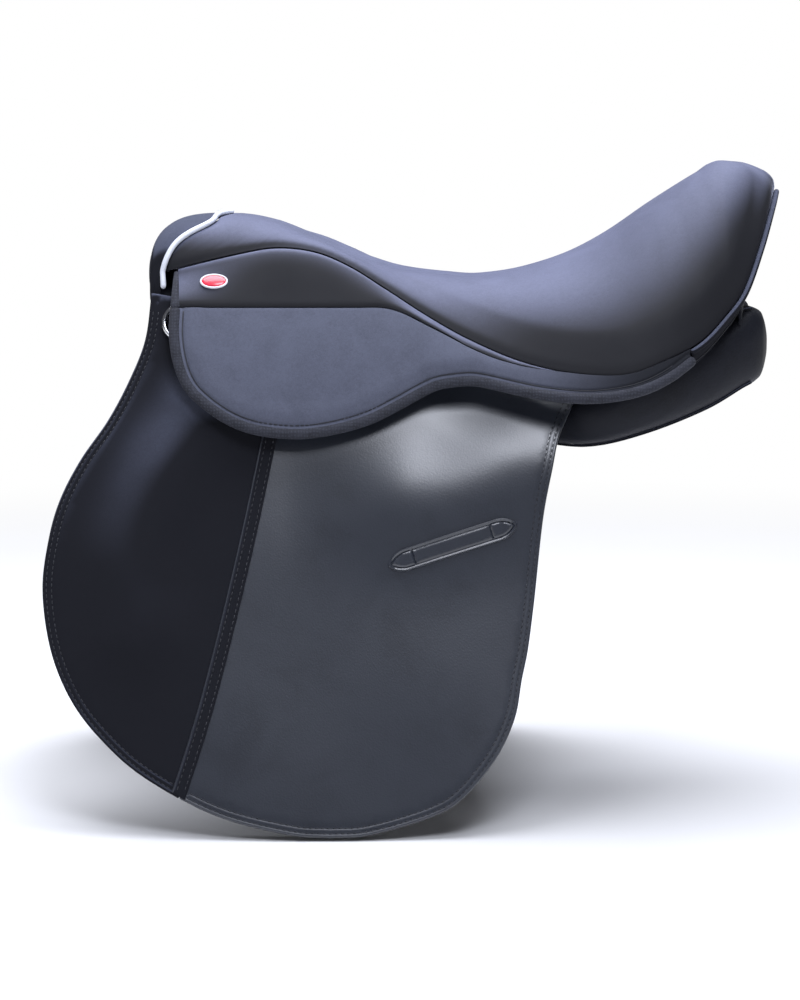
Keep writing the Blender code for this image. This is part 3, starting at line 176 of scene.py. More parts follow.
def evenly(path, spacing):
    steps = np.r_[0, np.cumsum(np.linalg.norm(np.diff(path, axis=0), axis=1))]
    count = max(int(round(steps[-1] / spacing)), 1)
    at = np.linspace(0, steps[-1], count + 1)
    return np.stack([np.interp(at, steps, path[:, k]) for k in range(path.shape[1])], -1)


def distances(points, path):
    result = np.full(len(points), 9.0)
    for a, w in zip(path[:-1], np.diff(path, axis=0)):
        share = np.clip(((points - a) @ w) / max(w @ w, 1e-12), 0, 1)
        result = np.minimum(result, np.linalg.norm(points - a - share[:, None] * w, axis=1))
    return result


def closedLoop(points):
    return np.vstack([points, points[:1]])


def circle(count):
    return np.arange(count) * 2 * math.pi / count


# Smooth swell of height 1 about zero
def bell(away, width):
    return np.exp(-(away / width) ** 2)


# Surfaces of the saddle
def seatHeight(x):
    return atX(seat["line"], x)[..., 1]


def ribSeam(place):
    return along(seat["ribs"][:, 2:], place)


lastRib = len(seat["ribs"]) - 1
nose = {
    "rim": (-0.1955, 0.1050),  # x and z of the lower rim in front of the pommel, in the middle
    "side": (0.0025, -0.0170),  # how much further back and up it lies at the sides
    "wider": 0.025,
    "fullness": 1.40,
}


def paired(one, other):
    return np.broadcast_arrays(np.asarray(one, float), np.asarray(other, float))


def seatPoint(place, across):
    place, across = paired(place, across)
    rib = along(seat["ribs"], place)
    x, slope, seam = rib[..., 0], np.radians(rib[..., 1]), rib[..., 2:]
    centre = np.stack([x, 0 * x, seatHeight(x)], -1)
    rise = (seatHeight(x + 0.002) - seatHeight(x - 0.002)) / 0.004
    way = unit(seam[..., :2] - centre[..., :2])
    reach = np.linalg.norm(seam - centre, axis=-1, keepdims=True) * seat["fullness"]
    trail = ribSeam(np.minimum(place + 0.05, lastRib)) - ribSeam(np.maximum(place - 0.05, 0))
    out = unit(np.stack([-trail[..., 1], trail[..., 0]], -1))
    out = np.where((place > lastRib - 0.01)[..., None], (1.0, 0.0), out)
    startWay = np.stack([way[..., 0], way[..., 1], rise * way[..., 0]], -1) * reach
    endWay = np.stack([out[..., 0] * np.cos(slope), out[..., 1] * np.cos(slope),
                       -np.sin(slope)], -1) * reach
    point = hermite(centre, startWay, seam, endWay, np.abs(across))
    point[..., 1] *= np.where(across < 0, -1, 1)
    return point


def nosePoint(forward, across):
    forward, across = paired(forward, across)
    start = seatPoint(0 * across, np.abs(across))
    share = across ** 2
    x, z = (nose["rim"][k] + nose["side"][k] * share for k in (0, 1))
    rim = np.stack([x, start[..., 1] * (1 + nose["wider"] * share), z], -1)
    reach = np.linalg.norm(rim - start, axis=-1, keepdims=True) * nose["fullness"]
    point = hermite(start, reach * (-1, 0, 0), rim, reach * (0, 0, -1), forward)
    point[..., 1] *= np.where(across < 0, -1, 1)
    return point


def skinPoint(place, across):
    return np.where((np.asarray(place) < 0)[..., None], nosePoint(np.maximum(-place, 0), across),
                    seatPoint(np.maximum(place, 0), across))


def skinNormal(place, across):
    place, across = paired(place, across)
    step = 0.02
    trail = (skinPoint(np.minimum(place + step, lastRib), across)
             - skinPoint(np.maximum(place - step, -1), across))
    low, high = (np.clip(across + shift, -1, 1) for shift in (-step, step))
    lateral = skinPoint(place, high) - skinPoint(place, low)
    lateral = np.where((across == 0)[..., None], (0.0, 1.0, 0.0), lateral)
    normal = np.cross(trail, lateral)
    normal[..., 1] *= np.where(place > lastRib - step, 0, 1)
    return unit(normal)


# How far the yoke's lower seam has run into the seat's seam
def joined(x):
    return ease((x - 0.088) / 0.064)[..., None]


def onFlap(side, x, down, out=0.0):
    x, down, out = np.broadcast_arrays(np.asarray(x, float), down, out)
    sine, cosine = math.sin(flap["tilt"]), math.cos(flap["tilt"])
    return np.stack([x, side * (flap["half"] + down * sine + out * cosine),
                     flap["high"] - down * cosine + out * sine], -1)


def flapOut(side):
    return np.array((0, side * math.cos(flap["tilt"]), math.sin(flap["tilt"])))


def seamSlope(x):
    angle = np.radians(atX(np.c_[seat["ribs"][:, 2], seat["ribs"][:, 1]], x)[..., 1])
    return np.stack([0 * angle, np.cos(angle), -np.sin(angle)], -1)


def seatSeam(x):
    return atX(seat["ribs"][:, 2:], x)


# Seam under the yoke, which runs into the seat's own seam towards the rear
def underYoke(x):
    lower, upper = atX(skirt["yokeLine"], x), seatSeam(x) + seamSlope(x) * 0.0020
    lower[..., 0] = upper[..., 0] = x
    return lower * (1 - joined(x)) + upper * joined(x)


def skirtPoint(x, z):
    top, foot = atX(skirt["yokeLine"], x), atX(skirt["foot"], x)
    share = (top[..., 2] - z) / (top[..., 2] - foot[..., 2])
    tuck = 0.006 * (1 - ease((x + 0.1722) / 0.030)) * share
    y = top[..., 1] + (foot[..., 1] - top[..., 1]) * share + 0.024 * share * (1 - share) - tuck
    return np.stack([x + 0 * z, y, z + 0 * x], -1)


def mirrored(points, side):
    return points * (1, side, 1)


# Colours are sRGB hex values, as read off the saddle in soft light
def linear(colour):
    values = [int(colour[k:k + 2], 16) / 255 for k in (1, 3, 5)]
    return tuple(v / 12.92 if v <= 0.04045 else ((v + 0.055) / 1.055) ** 2.4 for v in values) + (1,)


# Sets inputs of a node; each is a value, or a node and the name of its output
def wire(tree, node, inputs):
    for key, value in inputs.items():
        if isinstance(value, tuple) and isinstance(value[0], bpy.types.Node):
            tree.links.new(value[0].outputs[value[1]], node.inputs[key])
        else:
            node.inputs[key].default_value = value


def addNode(tree, kind, inputs=None, **settings):
    node = tree.nodes.new("ShaderNode" + kind)
    for key, value in settings.items():
        setattr(node, key, value)
    wire(tree, node, inputs or {})
    return node


def mathNode(tree, operation, *values, clamp=False):
    return addNode(tree, "Math", dict(enumerate(values)), operation=operation, use_clamp=clamp), 0


# Runs a value from its own range into another one
def ranged(tree, value, start, end, low=0.0, high=1.0, kind="SMOOTHSTEP"):
    inputs = {"Value": value, "From Min": start, "From Max": end, "To Min": low, "To Max": high}
    return addNode(tree, "MapRange", inputs, interpolation_type=kind), "Result"


def mixed(tree, share, low, high):
    return addNode(tree, "Mix", {0: share, 6: low, 7: high}, data_type="RGBA"), 2


# Slot, darker and lighter colour, least and most roughness, then three sizes in millimetres:
# of lighter and darker areas, of the surface's own relief, and how deep the relief is
def recipe(slot, dark, light, rough, patch, grain, deep, **more):
    return dict(more, slot=slot, dark=dark, light=light, rough=rough, patch=patch, grain=grain,
                deep=deep)


finishRecipes = {
    # Microfibre nubuck, brushed: dark seen straight on, with a pale bloom where it is seen aslant
    # its side colour is painted shade on faces turned from the top towards the sides; turn gives
    # the normal heights between which it fades in
    "seatNubuck": recipe("seat_nubuck", "#464a5e", "#61657c", (0.62, 0.74), 34, 0.7, 0.10, nap=2.2,
                         sheen=0.5, tint="#c4cae6", gloss=0.3, side="#15161c", turn=(0.46, 0.95)),
    # The same cloth in the skirts' paler tone, with painted shade darkening it towards the rear of
    # the tails, under the cantle
    "skirtNubuck": recipe("skirt_nubuck", "#3f424f", "#565a6a", (0.80, 0.92), 26, 0.7, 0.10,
                          nap=2.2, sheen=0.22, tint="#a9b2d0", gloss=0.3, tail="#14161c"),
    # Suede, buffed: deep and even, drinks light, with a short nap that shows strokes
    # its side colour is painted shade on faces turned away from up, which leaves upward faces, such
    # as the top of the knee roll's swell on the flap, as a painted highlight
    "darkSuede": recipe("dark_suede", "#393c48", "#4e5262", (0.84, 0.95), 30, 0.6, 0.12, nap=1.8,
                        sheen=0.12, tint="#8d94b0", gloss=0.15, side="#191a20", turn=(0.35, 0.54)),
    # Knitted edge binding, stretch fabric: ribs that catch the light, drawn over a
    # millimetre apart because finer ones would not show
    "bindingFabric": recipe("dark_suede", "#1d1f27", "#33353f", (0.86, 0.96), 9, 1.2, 0.20,
                            weave=5.0, sheen=0.18, tint="#a9b2d0"),
    # Smooth synthetic leather, embossed grain: a soft broad gloss broken up by fine pebbles
    "flapLeather": recipe("flap_leather", "#1f222a", "#2a2e37", (0.28, 0.36), 45, 1.2, 0.08,
                          pebble=True, coat=0.8),
    # Soft panel leather, finely milled: matt, with a faint grain
    "panelLeather": recipe("panel_leather", "#0f1016", "#191b23", (0.48, 0.60), 28, 1.0, 0.16,
                           pebble=True, gloss=0.2),
    # Strap leather, vegetable tanned and waxed: dark, close grain, a little shine
    "strapLeather": recipe("strap_leather", "#191a1f", "#26272d", (0.42, 0.58), 16, 0.8, 0.14,
                           pebble=True, worn="#4a4844"),
    # Piping, calendered vinyl over a cord: pale, clean and slightly glossy
    "pipingVinyl": recipe("piping_cord", "#c3c8d6", "#dde1ea", (0.34, 0.44), 7, 1.1, 0.05,
                          pebble=True, coat=0.15),
    # Nylon tree, injection moulded: black, spark-eroded texture
    "treeNylon": recipe("tree_polymer", "#17181b", "#232428", (0.46, 0.60), 22, 0.9, 0.06),
    # Latex foam: cream with open cells
    "seatFoam": recipe("foam", "#b7a888", "#d2c6a8", (0.92, 0.98), 18, 1.4, 0.5, pebble=True),
    # Polyester webbing, woven: ribs across its width
    "girthWeb": recipe("strap_leather", "#1c1d22", "#30323a", (0.72, 0.84), 12, 1.6, 0.35,
                       weave=0.6),
    # Bonded polyester thread: darker than the leather, with a twist
    "thread": recipe("skirt_nubuck", "#131419", "#25272e", (0.52, 0.66), 3, 0.5, 0.05, sheen=0.05,
                     tint="#c6cde6"),
    # Fired enamel on brass: a smooth glassy red, in a pale rim
    "badgeEnamel": recipe("badge_enamel", "#c81f38", "#e2344c", (0.14, 0.20), 5, 2.5, 0.01,
                          coat=0.6),
    "badgeRim": recipe("badge_enamel", "#d6d8e0", "#eceef4", (0.20, 0.28), 5, 2.0, 0.01, coat=0.4),
    # Chrome plate, polished: mirror bright with hair lines
    "chrome": recipe("steel", "#c9ccd2", "#e6e8ec", (0.07, 0.16), 6, 0.35, 0.01, metal=1.0,
                     brushed=True),
    # Stainless steel, blasted and rolled: satin grey
    "barSteel": recipe("steel", "#9a9ea6", "#b9bdc4", (0.24, 0.38), 9, 0.4, 0.03, metal=1.0,
                       brushed=True),
}


def makeFinish(name, look):
    material = bpy.data.materials.new(name)
    material.use_nodes = True
    tree = material.node_tree
    place = addNode(tree, "TexCoord"), "Object"
    # large soft areas, as hands and brushes leave them
    clouds = addNode(tree, "TexNoise", {"Scale": 1000 / look["patch"], "Detail": 5.0,
                     "Roughness": 0.6, "Distortion": 0.4, "Vector": place}), "Fac"
    stretch = (0.12, 1.0, 1.0) if look.get("brushed") else (1.0, 1.0, 1.0)
    laid = addNode(tree, "Mapping", {"Scale": stretch, "Vector": place}), "Vector"
    grain = 1000 / look["grain"]
    fine = addNode(tree, "TexNoise", {"Scale": grain, "Detail": 4.0, "Roughness": 0.65,
                   "Vector": laid}), "Fac"
    relief = fine
    if look.get("pebble"):
        cells = addNode(tree, "TexVoronoi", {"Scale": grain, "Vector": laid}, feature="SMOOTH_F1")
        relief = mathNode(tree, "ADD", (cells, "Distance"), mathNode(tree, "MULTIPLY", fine, 0.35))
    if look.get("weave"):
        waves = [(addNode(tree, "TexWave", {"Scale": grain / 6.28, "Distortion": look["weave"],
                          "Detail Scale": detail, "Vector": place}, bands_direction=way), "Fac")
                 for way, detail in (("X", 3.0), ("Z", 1.0))]
        relief = mathNode(tree, "MULTIPLY", *waves)
    shade = mathNode(tree, "MULTIPLY", relief, 0.45)
    if look.get("nap"):
        # strokes of the nap, finer than they are on the saddle would not show, so about 2 mm
        nap = addNode(tree, "TexNoise", {"Scale": 1000 / look["nap"], "Detail": 3.0,
                      "Distortion": 1.2, "Vector": place}), "Fac"
        total = mathNode(tree, "MULTIPLY_ADD", nap, 0.4, shade)
        total = mathNode(tree, "MULTIPLY_ADD", clouds, 0.55, total, clamp=True)
    else:
        total = mathNode(tree, "ADD", clouds, shade, clamp=True)
    colour = addNode(tree, "ValToRGB", {"Fac": total})
    for step, position, tone in zip(colour.color_ramp.elements, (0.30, 0.80), ("dark", "light")):
        step.position = position
        step.color = linear(look[tone])
    base = colour, "Color"
    if look.get("worn"):
        # edges rubbed paler by use
        edge = addNode(tree, "NewGeometry"), "Pointiness"
        rub = ranged(tree, edge, 0.54, 0.62, 0.0, 0.6, "LINEAR")
        base = mixed(tree, rub, base, linear(look["worn"]))
    if look.get("side"):
        # painted shade: faces that turn from up towards the sides and below take the darker side
        # colour, as if less lit from above
        facing = addNode(tree, "NewGeometry"), "Normal"
        parts = addNode(tree, "SeparateXYZ", {"Vector": facing})
        base = mixed(tree, ranged(tree, (parts, "Z"), *look["turn"]), linear(look["side"]), base)
    # painted shade: darker towards the rear of the skirt's tails, where they lie under the cantle
    if look.get("tail"):
        parts = addNode(tree, "SeparateXYZ", {"Vector": place})
        back = ranged(tree, (parts, "X"), 0.06, 0.19, 0.0, 0.95)
        base = mixed(tree, back, base, linear(look["tail"]))
    bump = addNode(tree, "Bump", {"Strength": 0.8, "Distance": look["deep"] / 1000,
                   "Height": relief})
    inputs = {
        "Base Color": base, "Roughness": ranged(tree, clouds, 0.0, 1.0, *look["rough"], "LINEAR"),
        "Normal": (bump, "Normal"), "Metallic": look.get("metal", 0.0),
        "Specular IOR Level": look.get("gloss", 0.5),
    }
    if look.get("sheen"):
        inputs.update({"Sheen Weight": look["sheen"], "Sheen Roughness": 0.22,
                       "Sheen Tint": linear(look["tint"])})
    if look.get("coat"):
        inputs.update({"Coat Weight": look["coat"], "Coat Roughness": 0.30})
    wire(tree, tree.nodes["Principled BSDF"], inputs)
    material.diffuse_color = linear(look["light"])
    return material


finishes = {name: makeFinish(name, look) for name, look in finishRecipes.items()}
print("materials made")


# Making and placing the pieces
def gridFaces(rows, columns, closed=False):
    faces = []
    for i in range(rows - 1):
        for j in range(columns if closed else columns - 1):
            k = (j + 1) % columns
            faces.append((i * columns + j, (i + 1) * columns + j,
                          (i + 1) * columns + k, i * columns + k))
    return faces


def tubeFaces(rings, turns):
    last = (rings - 1) * turns
    return gridFaces(rings, turns, closed=True) + [tuple(range(turns)),
                                                   tuple(range(last, last + turns))]


def makeMesh(points, faces, weld=0.0, toward=None):
    mesh = bpy.data.meshes.new("piece")
    mesh.from_pydata(np.asarray(points).reshape(-1, 3).tolist(), [], faces)
    form = bmesh.new()
    form.from_mesh(mesh)
    if weld:
        bmesh.ops.remove_doubles(form, verts=form.verts, dist=weld)
    if toward is None:
        bmesh.ops.recalc_face_normals(form, faces=form.faces)
    else:
        form.normal_update()
        lean = sum((f.normal * f.calc_area() for f in form.faces), Vector())
        if lean.dot(Vector(toward)) < 0:
            bmesh.ops.reverse_faces(form, faces=form.faces)
    form.to_mesh(mesh)
    form.free()
    return mesh


def dress(item, finish, sharp):
    item.data.materials.clear()
    item.data.materials.append(finishes[finish])
    item.data.shade_smooth()
    item.data.set_sharp_from_angle(angle=math.radians(sharp))


def addObject(name, data):
    item = bpy.data.objects.new(name, data)
    bpy.context.scene.collection.objects.link(item)
    return item


# Adds a visible piece; "stands" names the solids that it takes the place of
def addPiece(name, mesh, finish, *stands, body="saddle", slot=None):
    mesh.name = name
    piece = addObject(name, mesh)
    dress(piece, finish, 48)
    if body:
        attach(piece, body)
    if stands:
        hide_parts(*stands)
    return piece


# Applies every modifier, so that the piece is a plain mesh
def baked(mesh, *steps):
    piece = addObject("forming", mesh)
    for kind, settings in steps:
        step = piece.modifiers.new(kind.lower(), kind)
        for key, value in settings.items():
            setattr(step, key, value)
    graph = bpy.context.evaluated_depsgraph_get()
    result = bpy.data.meshes.new_from_object(piece.evaluated_get(graph))
    bpy.data.objects.remove(piece, do_unlink=True)
    return result


# Leather of a thickness; without faces its points are a grid of rows and columns
def leatherSheet(points, thickness, toward, faces=None, rounded=0.0009):
    sheet = makeMesh(points, faces or gridFaces(*points.shape[:2]), weld=0.00002, toward=toward)
    steps = [("SOLIDIFY", {"thickness": thickness, "offset": -1})]
    if rounded:
        steps.append(("BEVEL", {"width": rounded, "segments": 2, "limit_method": "ANGLE",
                                "angle_limit": math.radians(55)}))
    return baked(sheet, *steps)


# Triangles inside an outline, with lines along which the surface can be shaped
def cutOut(outline, spacing, lines=(), holes=()):
    low, high = outline.min(0), outline.max(0)
    inner = []
    rowStep = spacing * 0.87
    for i, y in enumerate(np.arange(low[1] + rowStep / 2, high[1], rowStep)):
        shift = spacing / 2 if i % 2 else 0
        inner += [(x, y) for x in np.arange(low[0] + shift, high[0], spacing)]
    inner = np.array(inner)
    loops = [outline, *holes]
    clear = np.min([distances(inner, ring) for ring in [*map(closedLoop, loops), *lines]], axis=0)
    points = np.vstack([*loops, *lines, inner[clear > spacing * 0.45]])
    edges, start = [], 0
    for loop in loops:
        count = len(loop)
        edges += [(start + k, start + (k + 1) % count) for k in range(count)]
        start += count
    result = delaunay_2d_cdt([Vector(p) for p in points], edges, [], 1, 1e-6)
    spots = np.array([tuple(p) for p in result[0]])
    middles = np.array([spots[list(face)].mean(0) for face in result[2]])
    cut = np.zeros(len(middles), bool)
    for hole in holes:
        cut |= insideLoop(middles, hole)
    return spots, [tuple(face) for face, away in zip(result[2], cut) if not away]


# Rings of points round each point of a path
def ringsAlong(path, across, lay, wide, deep):
    across, lay = (np.broadcast_to(way, path.shape)[:, None] for way in (across, lay))
    return path[:, None] + wide[..., None] * across + deep[..., None] * lay


def insideLoop(points, loop):
    inside = np.zeros(len(points), bool)
    for (ax, ay), (bx, by) in zip(loop, np.roll(loop, -1, axis=0)):
        if ay != by:
            crosses = (points[:, 1] > ay) != (points[:, 1] > by)
            inside ^= crosses & (points[:, 0] < (bx - ax) * (points[:, 1] - ay) / (by - ay) + ax)
    return inside


# Loop drawn so far inside another one
def inset(loop, amount):
    way = unit(np.roll(loop, -1, axis=0) - np.roll(loop, 1, axis=0))
    area = np.sum(loop[:, 0] * np.roll(loop[:, 1], -1) - np.roll(loop[:, 0], -1) * loop[:, 1])
    inward = np.stack([-way[:, 1], way[:, 0]], -1) * (1 if area > 0 else -1)
    return loop + inward * amount


# Cord, rolled edge or bead along a path; lay is the way that its flat side faces
def rollMesh(path, lay, half, thick=None, turns=14):
    path = np.asarray(path, float)
    way = unit(np.gradient(path, axis=0))
    lay = np.broadcast_to(np.asarray(lay, float), path.shape)
    lay = unit(lay - way * np.sum(lay * way, -1, keepdims=True))
    half = np.broadcast_to(half, len(path))
    thick = half if thick is None else np.broadcast_to(thick, len(path))
    # two smaller rings past each end round it off
    past, size = np.zeros(len(path) + 4), np.ones(len(path) + 4)
    past[[0, 1, -2, -1]] = -0.9, -0.55, 0.55, 0.9
    size[[0, 1, -2, -1]] = 0.42, 0.83, 0.83, 0.42
    at = np.clip(np.arange(-2, len(path) + 2), 0, len(path) - 1)
    middle = path[at] + way[at] * (past * half[at])[:, None]
    turn = circle(turns)
    points = ringsAlong(middle, np.cross(way, lay)[at], lay[at],
                        np.outer(half[at] * size, np.cos(turn)),
                        np.outer(thick[at] * size, np.sin(turn)))
    return makeMesh(points, tubeFaces(len(middle), turns))


# Row of sewn stitches, each a short thread that dips into the leather at both ends
def addStitches(name, path, lay, body="saddle", pitch=0.0045, length=0.0031, thread=0.00042):
    path = np.asarray(path, float)
    lay = np.broadcast_to(np.asarray(lay, float), path.shape)
    both = evenly(np.hstack([path, lay]), pitch)
    middle = (both[1:, :3] + both[:-1, :3]) / 2
    lay = unit((both[1:, 3:] + both[:-1, 3:]) / 2)
    way = unit(both[1:, :3] - both[:-1, :3])
    across = np.cross(way, lay)
    form = np.array([(-0.5, 0.35, -0.9), (-0.34, 0.9, 0.15), (0, 1, 0.45), (0.34, 0.9, 0.15),
                     (0.5, 0.35, -0.9)])
    reach, size, lift = form.T[..., None]
    turn = circle(6)
    local = np.stack([reach * length + 0 * turn, np.cos(turn) * size * thread,
                      np.sin(turn) * size * thread + lift * thread], -1).reshape(-1, 3)
    points = middle[:, None] + sum(local[:, k, None] * axis[:, None]
                                   for k, axis in enumerate((way, across, lay)))
    one = tubeFaces(5, 6)
    faces = [tuple(k + 30 * i for k in face) for i in range(len(middle)) for face in one]
    return addPiece(name, makeMesh(points, faces), "thread", body=body)


# Seat: cover and the foam under it
seatLook = {
    "rows": 150, "columns": 81,
    "seamDip": 0.0011, "pucker": 0.00022, "puckerEvery": 0.0085,
    "full": 0.0066,  # swell above the seam, along the sides
    "fullFrom": 0.034,  # way up from the seam to where it is fullest
    "fullFade": 0.09,
    "tuck": 0.0025,  # from the piping to the edge of the cover
    "sunk": np.array([
        (-0.125, 0.0000), (-0.095, 0.0022), (-0.070, 0.0058), (-0.045, 0.0075),
        (-0.020, 0.0068), (0.010, 0.0050), (0.040, 0.0036), (0.160, 0.0030),
        (0.225, 0.0022), (0.250, 0.0018), (0.270, 0.0032), (0.285, 0.0046),
    ]),  # x and how far the cover has sunk into the foam
}


# Pommel: facing, piping
pommel = {"apex": 0.66, "sweep": 0.72, "lappet": 0.0178, "end": 0.0105, "cord": 0.0022,
          "fall": (0.0008, 0.0042, -1), "drop": 0.0115, "leather": 0.003}


# Rib at which the piping crosses the seat, further back between its top and its ends
def pipingPlace(across):
    return (pommel["apex"] * (1 - across ** 2)
            + pommel["sweep"] * np.sin(math.pi * across) ** 2)


# How far the cover has sunk into the foam
def sunk(points, fromSeam):
    return np.interp(points[..., 0], *seatLook["sunk"].T) * ease(fromSeam / 0.030)


# Points of the skin, its normals and how far each lies from the seam
def seatSkin(place, across):
    points, seam = seatPoint(place, across), ribSeam(place)
    seam[..., 1] *= np.where(across < 0, -1, 1)
    return points, skinNormal(place, across), seam, np.linalg.norm(points - seam, axis=-1)


def makeSeat():
    across = np.linspace(-1, 1, seatLook["columns"])
    across = np.sign(across) * (1 - (1 - np.abs(across)) ** 1.25)
    share = np.linspace(0, 1, seatLook["rows"])[:, None]
    start = pipingPlace(across)
    step = seatPoint(start + 0.1, across) - seatPoint(start, across)
    start = (start + 0.1 * seatLook["tuck"] / np.linalg.norm(step, axis=-1))[None, :]
    place = start + (lastRib - start) * share
    fromStart = place - start
    across = np.broadcast_to(across, place.shape)
    points, normals, seam, fromSeam = seatSkin(place, across)
    run = np.r_[0, np.cumsum(np.linalg.norm(np.diff(seam[:, -1], axis=0), axis=1))][:, None]
    near = bell(fromSeam, 0.0042)
    pull = np.exp(-fromSeam / 0.009) * (1 - near * 0.5)
    wave = np.sin(run * 2 * math.pi / seatLook["puckerEvery"] + 1.7 * np.sin(run * 61))
    shape = -seatLook["seamDip"] * near + seatLook["pucker"] * pull * wave
    full = seatLook["full"] * (1 - 0.75 * ease((place - 13) / 4)) * ease((place - 5) / 5)
    start = seatLook["fullFrom"]
    shape += full * ease(fromSeam / start) * (1 - ease((fromSeam - start) / seatLook["fullFade"]))
    shape -= sunk(points, fromSeam) + 0.0010 * bell(fromStart, 0.10)
    cover = leatherSheet(points + normals * shape[..., None], seat["cover"], (0, 0, 1))
    piece = addPiece("seat_padding_cover", cover, "seatNubuck", "seat_cover")

    across = np.linspace(-0.87, 0.87, 37)
    start = pipingPlace(across) + 0.5
    place = start + (lastRib - start) * np.linspace(0, 1, 70)[:, None]
    points, normals, _, fromSeam = seatSkin(place, across + 0 * place)
    depth = seat["cover"] + 0.0008 * (1 + ease((place - lastRib + 3) * 2)) + sunk(points, fromSeam)
    foam = leatherSheet(points - normals * depth[..., None], seat["foam"], (0, 0, 1))
    addPiece("seat_foam_layer", foam, "seatFoam", "seat_foam")
    print("seat made")


def makePommel():
    across = np.linspace(-1, 1, 61)
    start = pipingPlace(across) - 0.10
    place = start - (start + 1) * np.linspace(0, 1, 44)[:, None]
    across = across + 0 * place
    points, normals = skinPoint(place, across), skinNormal(place, across)
    normals *= np.sign(np.sum(normals * (-0.5, 0, 1.0), -1).mean())
    drop = np.linspace(0, 1, 6)[1:, None, None] * (0, 0, -pommel["drop"])
    points = np.concatenate([points, points[-1:] + drop])
    normals, across = (np.concatenate([grid, np.repeat(grid[-1:], 5, axis=0)])
                       for grid in (normals, across))
    place = np.vstack([place, np.full((5, across.shape[1]), -1.0)])
    hem = bell(place + 0.90, 0.022) + bell(np.abs(across) - 0.93, 0.02)
    points = points - normals * (0.0006 * hem)[..., None]
    # lappets, which carry the facing down beside the ends of the piping
    fall = (np.linspace(0, 1, 7)[1:, None, None] * (1 + 0.35 * np.minimum(place[:, :1], 0))
            * np.array(pommel["fall"]) * (1, 1, pommel["lappet"]))
    left, right = points[None, :, 0] + fall * (1, -1, 1), points[None, :, -1] + fall
    points = np.concatenate([left[::-1].transpose(1, 0, 2), points, right.transpose(1, 0, 2)], 1)
    facing = leatherSheet(points, pommel["leather"], (-0.4, 0, 1))
    addPiece("pommel_facing_suede", facing, "darkSuede", "pommel_facing")
    path = nosePoint(np.full(60, 0.90), np.linspace(-0.93, 0.93, 60))
    addStitches("pommel_facing_stitches", path, unit(path - (-0.150, 0, 0.06)))

    across = np.linspace(-1, 1, 120)
    lay = skinNormal(pipingPlace(across), across)
    path = skinPoint(pipingPlace(across), across) + lay * 0.0010
    fall = np.linspace(0, 1, 7)[1:, None] * np.array(pommel["fall"]) * (1, 1, pommel["end"])
    path = np.vstack([(path[0] + fall * (1, -1, 1))[::-1], path, path[-1] + fall])
    lay = np.vstack([np.tile(lay[0], (6, 1)), lay, np.tile(lay[-1], (6, 1))])
    addPiece("pommel_piping_cord", rollMesh(path, lay, pommel["cord"], turns=16), "pipingVinyl",
             "pommel_piping")
    print("pommel made")


# Cantle: welt, facing band and the wall below it
cantle = {
    "under": 0.00135,  # from the seat's seam down to the welt
    "welt": 0.0022,
    "band": 0.0110,
    "leather": 0.0025,
    "wall": 0.0022,
    "bandTop": 0.0053,  # from the welt's line down to the band
    "wallFoot": np.array([
        (0.000, 0.2760, 0.1080), (0.013, 0.2740, 0.1030), (0.026, 0.2680, 0.0900),
        (0.039, 0.2620, 0.0748), (0.054, 0.2620, 0.0760), (0.066, 0.2620, 0.0750),
        (0.074, 0.2620, 0.0714), (0.082, 0.2620, 0.0620),
    ]),  # its lower edge, as y, x and z
}


# Seat's seam from one side round the back to the other, and the way out from it
def cantleLine(first, count):
    half = ribSeam(np.linspace(first, lastRib, count))
    line = np.vstack([mirrored(half, -1), half[-2::-1]])
    return line - (0, 0, cantle["under"]), unit((line - (0.150, 0, 0)) * (1, 1, 0))


def makeCantle():
    line, out = cantleLine(12.66, 60)
    welt = rollMesh(line + out * 0.0005 - (0, 0, 0.0025), out, cantle["welt"])
    addPiece("cantle_welt_roll", welt, "darkSuede", "cantle_welt")

    def bandLine(share, dip=0.0):
        drop = cantle["bandTop"] + cantle["band"] * share
        return line - out * (0.0006 + dip + 0.0045 * share) - (0, 0, drop)

    rows = np.stack([bandLine(share, 0.0005 * bell(share - 0.72, 0.07))
                     for share in np.linspace(0, 1, 9)])
    addPiece("cantle_facing_band", leatherSheet(rows, cantle["leather"], (1, 0, 0)),
             "darkSuede", "cantle_facing")
    addStitches("cantle_stitches", bandLine(0.72), out)

    # wall between the cantle and the backs of the panels
    line, out = cantleLine(15.15, 34)
    top = line - out * 0.0051 - (0, 0, cantle["bandTop"] + cantle["band"] + 0.0009)
    foot = atX(cantle["wallFoot"], np.abs(top[:, 1]))
    foot = np.stack([foot[:, 1], np.sign(top[:, 1]) * foot[:, 0], foot[:, 2]], -1)
    share = np.linspace(0, 1, 14)[:, None, None]
    middle = np.sin(math.pi * np.linspace(0, 1, len(line)))[None, :, None]
    swell = 0.0016 * np.sin(math.pi * share) ** 0.8 * middle
    points = top * (1 - share) + foot * share + swell * (1, 0, 0.3)
    wall = leatherSheet(points, cantle["wall"], (1, 0, 0.3))
    addPiece("panel_back_wall", wall, "panelLeather", "panel_back")
    print("cantle made")


# Normals of a grid of points, on the side that "toward" names
def gridNormals(rows, toward):
    normals = unit(np.cross(np.gradient(rows, axis=0), np.gradient(rows, axis=1)))
    return normals * np.sign(np.sum(normals * toward, -1).mean())


# Each point a quarter of the way towards both of its neighbours
def relaxed(path):
    return (path[:-2] + path[1:-1] * 2 + path[2:]) / 4


